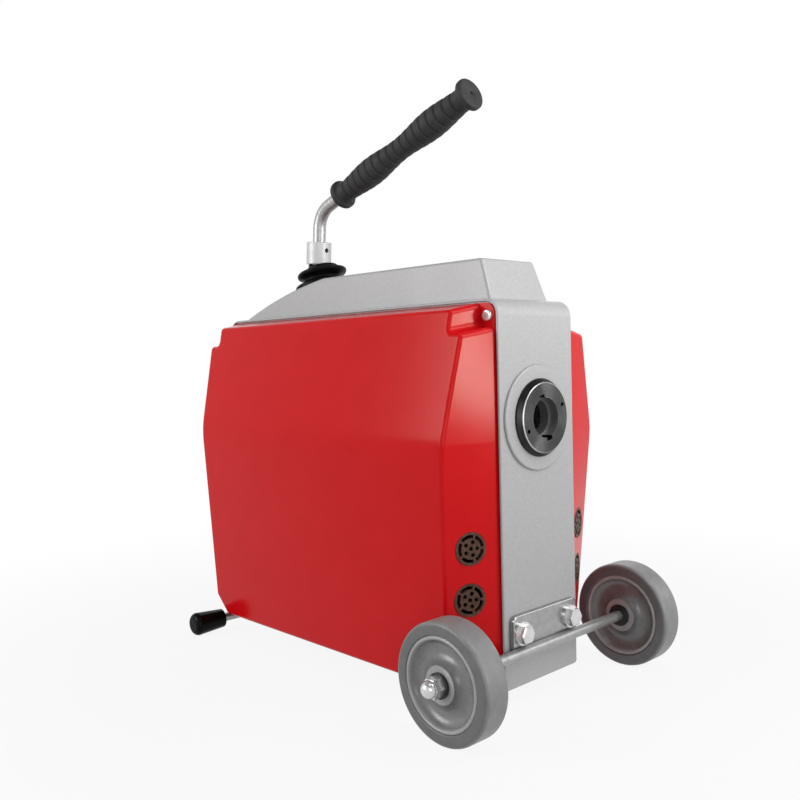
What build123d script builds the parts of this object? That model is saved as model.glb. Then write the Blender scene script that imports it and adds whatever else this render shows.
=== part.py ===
from build123d import *
import os
from math import atan, cos, pi, radians, sin, sqrt, tan

# Drain cleaning machine for sectional cables.
# +X points to the wheel end, +Z up, the floor is z = 0 and the origin is the
# middle of the footprint. All sizes are in millimetres.

# Clearances
running_fit = 0.05
slide_gap = 0.3
thread_gap = 0.1

# Frame casting
frame_length = 520.0
frame_width = 131.0
frame_height = 426.0
frame_wall = 8.0
frame_top_radius = 19.0
frame_bottom_radius = 12.0
frame_edge_radius = 2.0
frame_foot_radius = 6.0
flange_width = 16.0
flange_thickness = 8.0
ground_clearance = 22.0

# Hood on top of the casting
hood_front_foot = 22.0
hood_front_lean = 16.5
hood_front_height = 47.0
hood_height = 48.5
hood_side_gap = 14.2
hood_draft = 6.0
hood_knee_from_rear = 200.0
hood_tail_from_rear = 19.0
hood_ramp_crown = 6.0
hood_wall = 6.0
hood_edge_radius = 4.0
hood_sink = 24.0

# Spindle line, collars and bearings
spindle_drop = 132.0
cable_bore_radius = 20.0
journal_wall = 10.0
bearing_section = 9.0
bearing_width = 10.0
bearing_setback = 14.0
bearing_ball_radius = 2.6
bearing_ball_count = 12
bearing_land = 1.3
boss_wall = 20.4
boss_proud = 3.0
boss_edge = 2.2
seat_shoulder = 4.0
seat_lip = 3.5
collar_flange = 4.7
collar_proud = 8.0
collar_land = 2.0
collar_bevel = 5.0
collar_face_edge = 0.8
collar_edge = 1.5
socket_step = 2.5
socket_depth = 12.0
notch_width = 9.0
notch_depth = 3.5
notch_angle = 105.0
pin_hole_radius = 2.4
pin_hole_depth = 5.0
pin_hole_angle = 24.0

# Side covers
cover_wall = 3.0
cover_rim = 3.5
cover_inset = 4.6
cover_seam = 2.0
cover_corner_radius = 12.5
cover_top_drop = 12.0
cover_ridge_drop = 154.0
cover_top_depth = 41.0
cover_ridge_depth = 72.0
cover_foot_depth = 54.5
cover_top_setback = 12.4
cover_ridge_setback = 22.3
cover_front_foot_setback = 39.5
cover_rear_foot_setback = 22.3
cover_crease_radius = 5.0
cover_ridge_radius = 120.0
pocket_margin_x = 3.3
pocket_margin_z = 5.0
pocket_end_draft = 0.25
pocket_shelf_draft = 0.18
pocket_corner_radius = 7.0
pocket_edge_radius = 6.0
bevel_length = 43.0
bevel_height = 46.0
bevel_draft = 0.2
cover_screw_inset_x = 13.5
cover_screw_inset_z = 18.6
cover_screw_radius = 3.0
cover_screw_length = 18.0
cover_screw_head_radius = 6.2
cover_screw_head_height = 4.0
cover_screw_drive_radius = 2.2
cover_screw_drive_depth = 2.4
post_wall = 6.0

# Vent grilles
vent_radius = 18.0
vent_thickness = 5.0
vent_proud = 0.6
vent_offset = 34.5
vent_heights = (103.5, 159.3)
vent_slot_inner = 11.5
vent_slot_outer = 15.2
vent_slot_count = 5
vent_spoke = 2.6
vent_hole_radius = 2.3
vent_hole_circle = 7.2

# Wheels, axle and bracket
wheel_radius = 62.5
wheel_width = 33.0
wheel_side_gap = 9.0
axle_radius = 6.0
axle_standoff = 3.0
rim_radius = 48.5
rim_lip = 4.0
rim_bead = 1.3
rim_dish = 7.0
hub_wall = 14.0
hub_recess_radius = 10.5
hub_recess_depth = 4.0
tyre_shoulder = 4.5
axle_washer_radius = 13.0
axle_washer_thickness = 2.5
nut_flats = 19.0
nut_height = 11.0
nut_dome_radius = 9.2
bracket_side_gap = 8.5
bracket_height = 45.0
bracket_below_axle = 4.5
bracket_thickness = 6.0
bracket_corner_radius = 7.0
bracket_edge = 1.5
bolt_inset = 13.5
bolt_rise = 25.0
bolt_radius = 6.0
bolt_flats = 19.0
bolt_head_height = 8.0
bolt_thread_out = 9.0
bolt_washer_radius = 13.0
bolt_washer_thickness = 3.0

# Rear foot
foot_from_rear = 24.0
foot_bar_radius = 6.0
foot_cap_overhang = 26.0
foot_cap_length = 47.0
foot_cap_taper = 2.9
foot_cap_wall = 6.0
foot_cap_edge = 7.5
clamp_inset = 23.5
clamp_width = 20.0
clamp_thickness = 3.0
clamp_flange = 12.0
clamp_screw_radius = 2.5
clamp_screw_head_radius = 4.6
clamp_screw_head_height = 3.0
clamp_screw_edge = 1.0
clamp_screw_grip = 6.0

# Clutch lever
pivot_from_rear = 128.0
pivot_below_ramp = 21.3
pivot_pin_radius = 6.0
pivot_hub_wall = 6.0
pivot_hub_width = 40.0
lug_thickness = 8.0
spring_length = 8.0
spring_wire = 3.0
lever_lean = 5.0
lever_press = 10.0
stem_radius = 10.0
stem_engagement = 13.0
socket_floor = 4.0
socket_length = 31.0
lever_socket_wall = 7.5
lever_socket_edge = 0.8
lever_rise = 134.5
lever_tube_radius = 9.0
lever_tube_wall = 2.0
lever_bend_radius = 34.0
grip_angle = 18.7
grip_start = 50.5
grip_length = 258.0
grip_flange_radius = 19.8
grip_flange_length = 9.0
grip_flange_edge = 3.0
grip_neck_wall = 5.2
grip_swell = 4.2
grip_rib_depth = 1.2
grip_rib_count = 18
grip_end_wall = 8.0
grip_end_hole_radius = 2.0
set_screw_radius = 3.2
set_screw_drop = 11.5
fork_width = 22.0
fork_bridge_height = 16.0
fork_bridge_drop = 50.0
fork_arm_thickness = 8.0
fork_arm_gap = 2.0
fork_slot_gap = 1.2
fork_arm_overrun = 14.0

# Rubber boot round the lever
boot_forward = 11.0
boot_seat_radius = 33.0
boot_seat_rise = 2.0
boot_opening_radius = 23.0
boot_height = 35.0
boot_base_radius = 37.5
boot_base_height = 8.0
boot_fold_radii = (35.0, 22.5)
boot_fold_rises = (22.0, 28.5)
boot_fold_heights = (7.0, 7.0)
boot_fold_edge = 2.8
boot_valley_radius = 25.0
boot_wall = 3.0

# Clutch on the spindle
spindle_shoulder = 3.0
carrier_step = 7.0
jaw_count = 3
jaw_width = 18.0
jaw_length = 20.0
jaw_travel = 6.0
jaw_clearance = 1.0
carrier_overhang = 4.0
sleeve_wall = 18.0
sleeve_hub = 24.0
sleeve_relief = 1.0
jaw_cone_gap = 0.5
jaw_side_gap = 0.1
cone_start_gap = 0.5
sleeve_lip = 2.0
ring_width = 14.0
ring_groove_depth = 10.0
ring_proud = 2.0
ring_gap = 0.4
trunnion_radius = 5.0

# Belt drive and motor
pulley_setback = 60.0
belt_width = 20.0
belt_thickness = 5.0
driven_pulley_radius = 78.0
drive_pulley_radius = 28.0
pulley_flange = 7.0
pulley_flange_thickness = 3.0
pulley_hub_wall = 12.0
pulley_web = 10.0
motor_lift = 18.0
motor_radius = 66.0
motor_setback = 118.0
motor_length = 200.0
motor_shell = 5.0
motor_shield = 12.0
motor_shaft_radius = 9.0
stator_bore_radius = 36.0
stator_length = 110.0
rotor_air_gap = 0.6
fan_radius = 55.0
fan_hub_wall = 9.0
fan_thickness = 4.0
fan_blade_width = 18.0
fan_blade_count = 7
fan_gap = 6.0
mount_length = 120.0
mount_width = 100.0
mount_wrap = 33.0
mount_bolt_inset = 15.0
mount_bolt_radius = 4.0
mount_bolt_head_radius = 7.0
mount_bolt_head_height = 5.0
mount_bolt_grip = 8.0
capacitor_setback = 24.0
capacitor_radius = 22.0
capacitor_length = 90.0
clip_width = 16.0
clip_thickness = 2.5
clip_screw_radius = 2.5
clip_screw_head_radius = 4.5
clip_screw_head_height = 3.0
clip_screw_grip = 6.0

# Switch and cord gland on the end away from the wheels
switch_side = 48.0
switch_plate = 4.0
switch_corner_radius = 4.0
switch_depth = 40.0
switch_body_side = 38.0
knob_radius = 17.0
knob_length = 16.0
knob_disc = 8.0
knob_bar_width = 8.5
knob_edge = 1.2
knob_shaft_radius = 4.0
knob_shaft_length = 14.0
gland_radius = 8.0
gland_flats = 24.0
gland_nut = 7.0
gland_dome = 12.0
gland_edge = 4.0
gland_bore_radius = 5.0

# Radii that fit on or inside each other along the spindle
bearing_bore_radius = cable_bore_radius + journal_wall
bearing_outer_radius = bearing_bore_radius + bearing_section
boss_radius = bearing_outer_radius + boss_wall
collar_radius = bearing_outer_radius + collar_flange
socket_radius = cable_bore_radius + socket_step
pin_hole_circle = (socket_radius + collar_radius) / 2
spindle_radius = bearing_bore_radius + spindle_shoulder
carrier_radius = spindle_radius + carrier_step
jaw_rest_radius = cable_bore_radius + jaw_clearance
sleeve_radius = carrier_radius + sleeve_wall
ring_bore_radius = sleeve_radius - ring_groove_depth
ring_radius = sleeve_radius + ring_proud
pulley_hub_radius = spindle_radius + pulley_hub_wall

# Radii and lengths that fit elsewhere
pivot_hub_radius = pivot_pin_radius + pivot_hub_wall
lever_socket_radius = stem_radius + lever_socket_wall
grip_neck_radius = lever_tube_radius + grip_neck_wall
hub_radius = axle_radius + hub_wall
clip_radius = capacitor_radius + clip_thickness
clamp_hug = foot_bar_radius + clamp_thickness
pocket_length = cover_screw_inset_x + cover_screw_head_radius + pocket_margin_x
pocket_height = cover_screw_inset_z + cover_screw_head_radius + pocket_margin_z
post_radius = cover_screw_radius + post_wall
hood_foot_width = frame_width - 2 * hood_side_gap
bracket_width = frame_width - 2 * bracket_side_gap
bolt_spacing = bracket_width - 2 * bolt_inset
clamp_spacing = frame_width - 2 * clamp_inset
clamp_screw_spacing = 2 * clamp_hug + clamp_flange
clip_screw_spacing = 2 * clip_radius + clip_width
mount_bolt_spacing_x = mount_length - 2 * mount_bolt_inset
mount_bolt_spacing_y = mount_width - 2 * mount_bolt_inset
seat_depth = bearing_setback + bearing_width
seat_length = seat_depth + seat_shoulder

# Places along the machine, with the footprint's middle at x = 0
axle_reach = axle_standoff + axle_radius
collar_reach = boss_proud + collar_proud
knob_reach = switch_plate + slide_gap + knob_length
gland_reach = gland_nut + gland_dome
rear_reach = max(collar_reach, knob_reach, gland_reach)
front_x = (frame_length + rear_reach - axle_reach - wheel_radius) / 2
rear_x = front_x - frame_length
mid_x = (front_x + rear_x) / 2
axle_x = front_x + axle_reach
foot_x = rear_x + foot_from_rear
pivot_x = rear_x + pivot_from_rear
motor_front_x = front_x - motor_setback
motor_rear_x = motor_front_x - motor_length
motor_middle_x = (motor_front_x + motor_rear_x) / 2
capacitor_rear_x = rear_x + capacitor_setback
clip_x = capacitor_rear_x + (capacitor_length - clip_width) / 2

# Places across the machine
side_y = frame_width / 2
cover_seat_y = side_y - cover_rim
cover_outer_y = cover_seat_y + cover_ridge_depth
wheel_outer_face = cover_outer_y + wheel_side_gap + wheel_width
foot_cap_outer = cover_outer_y + foot_cap_overhang

# Heights
frame_bottom = ground_clearance
floor_z = frame_bottom + frame_wall
deck_z = frame_bottom + frame_height
frame_mid_z = frame_bottom + frame_height / 2
spindle_z = deck_z - spindle_drop
spindle_axis = Axis((0, 0, spindle_z), (1, 0, 0))
cover_top_height = frame_height - cover_top_drop
cover_ridge_height = frame_height - cover_ridge_drop
axle_z = wheel_radius
bracket_foot_z = axle_z - bracket_below_axle
bolt_z = bracket_foot_z + bolt_rise
foot_z = ground_clearance - foot_bar_radius - thread_gap
foot_cap_radius = foot_z
motor_z = floor_z + motor_lift + motor_radius
panel_third = (spindle_z - boss_radius - frame_bottom) / 3
switch_z = frame_bottom + 2 * panel_third
gland_z = frame_bottom + panel_third
ramp_run = hood_knee_from_rear - hood_tail_from_rear


def ramp_rise(from_rear):
    """Height of the hood's ramp above the deck, at a distance from the rear end."""
    share = (from_rear - hood_tail_from_rear) / ramp_run
    return hood_height * share + 4 * hood_ramp_crown * share * (1 - share)


def ramp_slope(from_rear):
    """Slope of the hood's ramp at a distance from the rear end."""
    share = (from_rear - hood_tail_from_rear) / ramp_run
    return (hood_height + 4 * hood_ramp_crown * (1 - 2 * share)) / ramp_run


def disc(plane, outer, inner, length):
    """A plain ring, or a rod where inner is 0, standing on a plane."""
    with BuildPart() as made:
        with BuildSketch(plane):
            Circle(outer)
            if inner:
                Circle(inner, mode=Mode.SUBTRACT)
        extrude(amount=length)
    return made.part


def along_x(x, z):
    """Plane square to X at a point, with its normal towards the wheel end."""
    return Plane(origin=(x, 0, z), x_dir=(0, 1, 0), z_dir=(1, 0, 0))


def turned(points, axis):
    """Solid turned from an outline of points in the XZ plane."""
    with BuildPart() as made:
        with BuildSketch(Plane.XZ):
            with BuildLine():
                Polyline(*points, close=True)
            make_face()
        revolve(axis=axis)
    return made.part


# Hood, whole and as the hollow inside it
def hood_form(inset):
    reach = hood_height + frame_wall
    low = deck_z - hood_sink
    slope = tan(radians(hood_draft))
    foot = hood_foot_width / 2 - inset
    with BuildPart() as form:
        with BuildSketch(Plane.YZ.offset(rear_x)):
            with BuildLine():
                Polyline(
                    (-foot - hood_sink * slope, low),
                    (foot + hood_sink * slope, low),
                    (foot - reach * slope, deck_z + reach),
                    (-foot + reach * slope, deck_z + reach),
                    close=True,
                )
            make_face()
        extrude(amount=frame_length)
        front_foot_x = front_x - hood_front_foot
        front_slope = hood_front_lean / hood_front_height
        knee = (rear_x + hood_knee_from_rear, deck_z + hood_height)
        tail = (rear_x + hood_tail_from_rear, deck_z)
        with BuildSketch(Plane.XZ):
            with BuildLine():
                Polyline(
                    (tail[0], tail[1]),
                    (tail[0], low - inset),
                    (front_foot_x + (deck_z - low + inset) * front_slope, low - inset),
                    (front_foot_x - hood_front_lean, deck_z + hood_front_height),
                    knee,
                )
                SagittaArc(knee, tail, -hood_ramp_crown)
            make_face()
            if inset:
                offset(amount=-inset, kind=Kind.INTERSECTION)
        extrude(amount=frame_width, both=True, mode=Mode.INTERSECT)
        if not inset:
            crown = form.edges().filter_by(lambda e: e.center().Z > deck_z + 1)
            crown = crown.filter_by(lambda e: abs(e.center().X - knee[0]) > 1)
            fillet(crown, hood_edge_radius)
    return form.part


hood = hood_form(0)
hood_hollow = hood_form(hood_wall)

# Lever pivot under the ramp, and the clutch movement that follows from it
pivot_z = deck_z + ramp_rise(pivot_from_rear) - pivot_below_ramp
pivot_point = Vector(pivot_x, 0, pivot_z)
lean = radians(lever_lean)
stem_dir = Vector(sin(lean), 0, cos(lean))
fork_arm_length = pivot_z - spindle_z
sleeve_travel = fork_arm_length * radians(lever_press)
closing_slope = jaw_travel / sleeve_travel

# Boot seat: a flat pad on the ramp, square to the ramp's slope
boot_from_rear = pivot_from_rear + boot_forward
boot_tilt = atan(ramp_slope(boot_from_rear))
boot_seat = Plane(
    origin=(
        rear_x + boot_from_rear - boot_seat_rise * sin(boot_tilt),
        0,
        deck_z + ramp_rise(boot_from_rear) + boot_seat_rise * cos(boot_tilt),
    ),
    x_dir=(cos(boot_tilt), 0, sin(boot_tilt)),
    z_dir=(-sin(boot_tilt), 0, cos(boot_tilt)),
)
boot_start = (boot_seat.origin - pivot_point).dot(stem_dir)
boot_top = boot_start + boot_height
socket_start = boot_top + slide_gap

# Housing
cover_screw_places = [
    (front_x - cover_screw_inset_x, frame_bottom + cover_screw_inset_z),
    (front_x - cover_screw_inset_x, deck_z - cover_screw_inset_z),
    (rear_x + cover_screw_inset_x, frame_bottom + cover_screw_inset_z),
    (rear_x + cover_screw_inset_x, deck_z - cover_screw_inset_z),
]
with BuildPart() as housing:
    with BuildSketch(Plane.XZ) as side_outline:
        with Locations((mid_x, frame_mid_z)):
            Rectangle(frame_length, frame_height)
        corners = side_outline.vertices()
        fillet(corners.group_by(Axis.Y)[-1], frame_top_radius)
        fillet(corners.group_by(Axis.Y)[0], frame_bottom_radius)
    extrude(amount=side_y, both=True)
    for end in (0, -1):
        fillet(housing.faces().sort_by(Axis.Y)[end].edges(), frame_edge_radius)
    # The two lower edges along the frame are rounded off further.
    with BuildSketch(along_x(rear_x, frame_bottom + frame_foot_radius / 2)):
        with GridLocations(frame_width - frame_foot_radius, 0, 2, 1):
            Rectangle(frame_foot_radius, frame_foot_radius)
        with Locations((0, frame_foot_radius / 2)):
            with GridLocations(frame_width - 2 * frame_foot_radius, 0, 2, 1):
                Circle(frame_foot_radius, mode=Mode.SUBTRACT)
    extrude(amount=frame_length, mode=Mode.SUBTRACT)
    add(hood)
    # A rebate on each side that the cover's rim sits in, with a seam round it.
    for plane in (Plane.XZ.offset(side_y), Plane.XZ.offset(-cover_seat_y)):
        with BuildSketch(plane):
            with Locations((mid_x, frame_mid_z)):
                RectangleRounded(
                    frame_length - 2 * cover_inset + 2 * cover_seam,
                    frame_height - 2 * cover_inset + 2 * cover_seam,
                    cover_corner_radius + cover_seam,
                )
        extrude(amount=-cover_rim, mode=Mode.SUBTRACT)
    # The hollow inside, and an opening on each side with a flange for its cover.
    inner_y = side_y - flange_thickness
    for margin, reach in ((frame_wall, inner_y), (flange_width, side_y)):
        with BuildSketch(Plane.XZ):
            with Locations((mid_x, frame_mid_z)):
                RectangleRounded(frame_length - 2 * margin, frame_height - 2 * margin, frame_top_radius)
        extrude(amount=reach, both=True, mode=Mode.SUBTRACT)
    add(hood_hollow, mode=Mode.SUBTRACT)
    # Posts for the cover screws.
    with BuildSketch(Plane.XZ):
        with Locations(*cover_screw_places):
            Circle(post_radius)
    extrude(amount=inner_y, both=True)
    # Bearing seats at both ends, with a raised ring outside.
    for x, way, end in ((front_x + boss_proud, -1, -1), (rear_x - boss_proud, 1, 0)):
        with BuildSketch(along_x(x, spindle_z)):
            Circle(boss_radius)
        extrude(amount=way * (boss_proud + seat_length))
        rings = housing.edges().filter_by(GeomType.CIRCLE)
        outlines = rings.filter_by(lambda e: abs(e.radius - boss_radius) < running_fit)
        fillet(outlines.sort_by(Axis.X)[end], boss_edge)
        with BuildSketch(along_x(x, spindle_z)):
            Circle(bearing_outer_radius + running_fit)
        extrude(amount=way * (boss_proud + seat_depth), mode=Mode.SUBTRACT)
        with BuildSketch(along_x(x, spindle_z)):
            Circle(bearing_outer_radius - seat_lip)
        extrude(amount=way * (boss_proud + seat_length), mode=Mode.SUBTRACT)
    # Lugs for the lever's pivot pin, under the hood.
    lug_top = pivot_below_ramp - hood_wall / 2
    for side in (-1, 1):
        lug_y = side * (pivot_hub_width / 2 + slide_gap)
        with BuildSketch(Plane.XZ.offset(-lug_y)):
            with Locations((pivot_x, pivot_z)):
                Circle(pivot_hub_radius)
            with Locations((pivot_x, pivot_z + lug_top / 2)):
                Rectangle(2 * pivot_hub_radius, lug_top)
        extrude(amount=-side * lug_thickness)
    with BuildSketch(boot_seat):
        Circle(boot_seat_radius)
    extrude(amount=-boot_seat_rise - hood_wall / 2)
    with BuildSketch(boot_seat):
        Circle(boot_opening_radius)
    extrude(amount=-hood_wall * 2, mode=Mode.SUBTRACT)
    with BuildSketch(Plane.XZ):
        with Locations((pivot_x, pivot_z)):
            Circle(pivot_pin_radius + running_fit)
    extrude(amount=pivot_hub_width / 2 + slide_gap + lug_thickness, both=True, mode=Mode.SUBTRACT)
    # Holes for screws and bolts.
    with BuildSketch(Plane.XZ):
        with Locations(*cover_screw_places):
            Circle(cover_screw_radius + thread_gap)
    extrude(amount=frame_width, both=True, mode=Mode.SUBTRACT)
    with BuildSketch(along_x(front_x, bolt_z)):
        with GridLocations(bolt_spacing, 0, 2, 1):
            Circle(bolt_radius + thread_gap)
    extrude(amount=-frame_wall, mode=Mode.SUBTRACT)
    with BuildSketch(Plane.XY.offset(frame_bottom)):
        with Locations((motor_middle_x, 0)):
            with GridLocations(mount_bolt_spacing_x, mount_bolt_spacing_y, 2, 2):
                Circle(mount_bolt_radius + thread_gap)
        with Locations((foot_x, 0)):
            with GridLocations(clamp_screw_spacing, clamp_spacing, 2, 2):
                Circle(clamp_screw_radius + thread_gap)
        with Locations((clip_x + clip_width / 2, 0)):
            with GridLocations(0, clip_screw_spacing, 1, 2):
                Circle(clip_screw_radius + thread_gap)
    extrude(amount=frame_wall, mode=Mode.SUBTRACT)
    # Openings for the switch and the gland.
    with BuildSketch(along_x(rear_x, switch_z)):
        Rectangle(switch_body_side + 2 * slide_gap, switch_body_side + 2 * slide_gap)
    extrude(amount=frame_wall, mode=Mode.SUBTRACT)
    with BuildSketch(along_x(rear_x, gland_z)):
        Circle(gland_radius + thread_gap)
    extrude(amount=frame_wall, mode=Mode.SUBTRACT)


# Side covers: a bulge over three heights, pockets cut into its corners, and a rim
def cover_bulge(inset):
    """The cover's bulge on the -Y side, taken in by an inset."""
    sections = (
        (cover_inset, cover_foot_depth, cover_front_foot_setback, cover_rear_foot_setback),
        (cover_ridge_height, cover_ridge_depth, cover_ridge_setback, cover_ridge_setback),
        (cover_top_height, cover_top_depth, cover_top_setback, cover_top_setback),
        (frame_height - cover_inset, cover_rim, cover_inset, cover_inset),
    )
    with BuildPart() as bulge:
        for height, depth, front, rear in sections:
            z = frame_bottom + height
            if height == cover_inset:
                z = z + inset
            if height == frame_height - cover_inset:
                z = z - inset
            with BuildSketch(Plane.XY.offset(z)):
                with BuildLine():
                    Polyline(
                        (front_x - cover_inset - inset, -cover_seat_y),
                        (front_x - front - inset, -cover_seat_y - depth + inset),
                        (rear_x + rear + inset, -cover_seat_y - depth + inset),
                        (rear_x + cover_inset + inset, -cover_seat_y),
                        close=True,
                    )
                make_face()
        loft(ruled=True)
        if not inset:
            ridge = bulge.edges().filter_by(Axis.X).sort_by(Axis.Y)[0]
            fillet(ridge, cover_ridge_radius)
    return bulge.part


def cover_pockets(grow, start):
    """Cutters for the two top corners' pockets, from a depth outwards, grown for the inside."""
    with BuildPart() as cutters:
        for x in (front_x, rear_x):
            for depth in (start, cover_ridge_depth):
                with BuildSketch(Plane.XZ.offset(cover_seat_y + depth)):
                    with Locations((x, deck_z)):
                        RectangleRounded(
                            2 * (pocket_length + grow + pocket_end_draft * depth),
                            2 * (pocket_height + grow + pocket_shelf_draft * depth),
                            pocket_corner_radius + grow,
                        )
            loft()
    return cutters.part


def cover_bevels(grow, start):
    """Cutters for the two bottom corners' bevels, from a depth outwards, grown for the inside."""
    slant = sqrt(bevel_length**2 + bevel_height**2)
    with BuildPart() as cutters:
        for x, way in ((front_x, -1), (rear_x, 1)):
            for depth in (start, cover_ridge_depth):
                length = bevel_length + grow * slant / bevel_height + bevel_draft * depth
                height = bevel_height + grow * slant / bevel_length + bevel_draft * depth
                with BuildSketch(Plane.XZ.offset(cover_seat_y + depth)):
                    with BuildLine():
                        Polyline(
                            (x, frame_bottom),
                            (x + way * length, frame_bottom),
                            (x, frame_bottom + height),
                            close=True,
                        )
                    make_face()
            loft()
    return cutters.part


def outer_edges(cover):
    """Edges of the bulge that stand out past its rim."""
    return cover.edges().filter_by(lambda e: e.center().Y < -side_y - 3 * cover_rim)


def pocket_corner_edges(cover):
    """Edges from the panel to the rim at a pocket: its upper end's corner and its shelf's corner."""
    high = cover.edges().filter_by(lambda e: e.center().Z > deck_z - 2 * pocket_height)
    inward = high.filter_by(lambda e: abs(e.tangent_at(0.5).Y) > 0.85 and e.length > 2 * cover_rim)
    by_place = inward.sort_by(Axis.X)
    return inward.group_by(Axis.Z)[-1] + [by_place[0], by_place[-1]]


def cover_long_edges(cover):
    """The creases along the top and the bottom of the panel."""
    along = outer_edges(cover).filter_by(Axis.X)
    return along.group_by(Axis.Z)[0] + along.group_by(Axis.Z)[-1]


def cover_end_edges(cover):
    """The creases between the panel and its two end walls."""
    inside_z = frame_height / 2 - 2 * pocket_height
    level = outer_edges(cover).filter_by(lambda e: abs(e.center().Z - frame_mid_z) < inside_z)
    return level.filter_by(lambda e: abs(e.center().X - mid_x) > frame_length / 4)


def vent_plane(height):
    """Plane on the cover's end wall at a height, facing out of the cover."""
    share = (cover_ridge_height - height) / (cover_ridge_height - cover_inset)
    setback = cover_ridge_setback + share * (cover_front_foot_setback - cover_ridge_setback)
    depth = cover_ridge_depth + share * (cover_foot_depth - cover_ridge_depth)
    slope = (setback - cover_inset) / depth
    return Plane(
        origin=(
            front_x - cover_inset - slope * vent_offset,
            -cover_seat_y - vent_offset,
            frame_bottom + height,
        ),
        x_dir=(slope, 1, 0),
        z_dir=(1, -slope, 0),
    )


with BuildPart() as left_cover:
    add(cover_bulge(0))
    add(cover_pockets(0, 0), mode=Mode.SUBTRACT)
    add(cover_bevels(0, 0), mode=Mode.SUBTRACT)
    fillet(pocket_corner_edges(left_cover), pocket_edge_radius)
    for round_off in (cover_end_edges, cover_long_edges):
        fillet(round_off(left_cover), cover_crease_radius)
    with BuildSketch(Plane.XZ.offset(cover_seat_y)):
        with Locations((mid_x, frame_mid_z)):
            RectangleRounded(
                frame_length - 2 * cover_inset, frame_height - 2 * cover_inset, cover_corner_radius
            )
    extrude(amount=cover_rim)
    floor_depth = cover_rim - cover_wall
    hollow = cover_bulge(cover_wall) - cover_pockets(cover_wall, floor_depth)
    add(hollow - cover_bevels(cover_wall, floor_depth), mode=Mode.SUBTRACT)
    with BuildSketch(Plane.XZ.offset(cover_seat_y)):
        with Locations(*cover_screw_places):
            Circle(cover_screw_radius + slide_gap)
    extrude(amount=cover_rim, mode=Mode.SUBTRACT)
    for height in vent_heights:
        with BuildSketch(vent_plane(height)):
            Circle(vent_radius + slide_gap)
        extrude(amount=vent_thickness, both=True, mode=Mode.SUBTRACT)
right_cover_part = mirror(left_cover.part, about=Plane.XZ)


# Vent grilles in the end walls of the covers
with BuildPart() as left_vents:
    for height in vent_heights:
        face = vent_plane(height).offset(vent_proud - vent_thickness)
        with BuildSketch(face):
            Circle(vent_radius)
            Circle(vent_hole_radius, mode=Mode.SUBTRACT)
            with PolarLocations(vent_hole_circle, vent_slot_count):
                Circle(vent_hole_radius, mode=Mode.SUBTRACT)
        extrude(amount=vent_thickness)
    for height in vent_heights:
        face = vent_plane(height).offset(vent_proud - vent_thickness)
        with BuildSketch(face):
            Circle(vent_slot_outer)
            Circle(vent_slot_inner, mode=Mode.SUBTRACT)
            with PolarLocations(vent_slot_outer / 2, vent_slot_count):
                Rectangle(vent_slot_outer, vent_spoke, mode=Mode.SUBTRACT)
        extrude(amount=vent_thickness, mode=Mode.SUBTRACT)
right_vents_part = mirror(left_vents.part, about=Plane.XZ)

# Screws of the covers, pan heads with a hexagon socket
with BuildPart() as left_cover_screws:
    with BuildSketch(Plane.XZ.offset(side_y)):
        with Locations(*cover_screw_places):
            Circle(cover_screw_head_radius)
    extrude(amount=cover_screw_head_height)
    rims = left_cover_screws.edges().group_by(Axis.Y)[0]
    fillet(rims, cover_screw_head_height / 2)
    with BuildSketch(Plane.XZ.offset(side_y)):
        with Locations(*cover_screw_places):
            Circle(cover_screw_radius)
    extrude(amount=-cover_screw_length)
    with BuildSketch(Plane.XZ.offset(side_y + cover_screw_head_height)):
        with Locations(*cover_screw_places):
            RegularPolygon(cover_screw_drive_radius, 6)
    extrude(amount=-cover_screw_drive_depth, mode=Mode.SUBTRACT)
cover_screws_part = left_cover_screws.part + mirror(left_cover_screws.part, about=Plane.XZ)

# Collar at the wheel end, and its twin at the other end
collar_seat_x = front_x + boss_proud
collar_face_x = collar_seat_x + collar_proud
collar_rim = spindle_z + collar_radius
with BuildPart() as inlet_collar:
    with BuildSketch(Plane.XZ):
        with BuildLine():
            Polyline(
                (collar_seat_x, spindle_z),
                (collar_seat_x, collar_rim),
                (collar_seat_x + collar_land, collar_rim),
                (collar_face_x - collar_face_edge, collar_rim - collar_bevel + collar_face_edge),
                (collar_face_x, collar_rim - collar_bevel),
                (collar_face_x, spindle_z),
                close=True,
            )
        make_face()
    revolve(axis=spindle_axis)
    with BuildSketch(along_x(collar_seat_x, spindle_z)):
        Circle(bearing_outer_radius)
    extrude(amount=-boss_proud - bearing_setback)
    with BuildSketch(along_x(front_x - bearing_setback, spindle_z)):
        Circle(bearing_outer_radius - seat_lip)
    extrude(amount=collar_edge, mode=Mode.SUBTRACT)
    with BuildSketch(along_x(front_x - bearing_setback, spindle_z)):
        Circle(cable_bore_radius)
    extrude(amount=bearing_setback + boss_proud + collar_proud, mode=Mode.SUBTRACT)
    with BuildSketch(along_x(collar_face_x, spindle_z)):
        Circle(socket_radius)
        with PolarLocations(socket_radius, 2, start_angle=notch_angle):
            Rectangle(2 * notch_depth, notch_width)
    extrude(amount=-socket_depth, mode=Mode.SUBTRACT)
    with BuildSketch(along_x(collar_face_x, spindle_z)):
        with PolarLocations(pin_hole_circle, 2, start_angle=pin_hole_angle):
            Circle(pin_hole_radius)
    extrude(amount=-pin_hole_depth, mode=Mode.SUBTRACT)
outlet_collar_part = mirror(inlet_collar.part, about=Plane.YZ.offset(mid_x))

# Spindle bearings
bearing_pitch = (bearing_bore_radius + bearing_outer_radius) / 2
bearing_middles = (
    front_x - bearing_setback - bearing_width / 2,
    rear_x + bearing_setback + bearing_width / 2,
)


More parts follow.
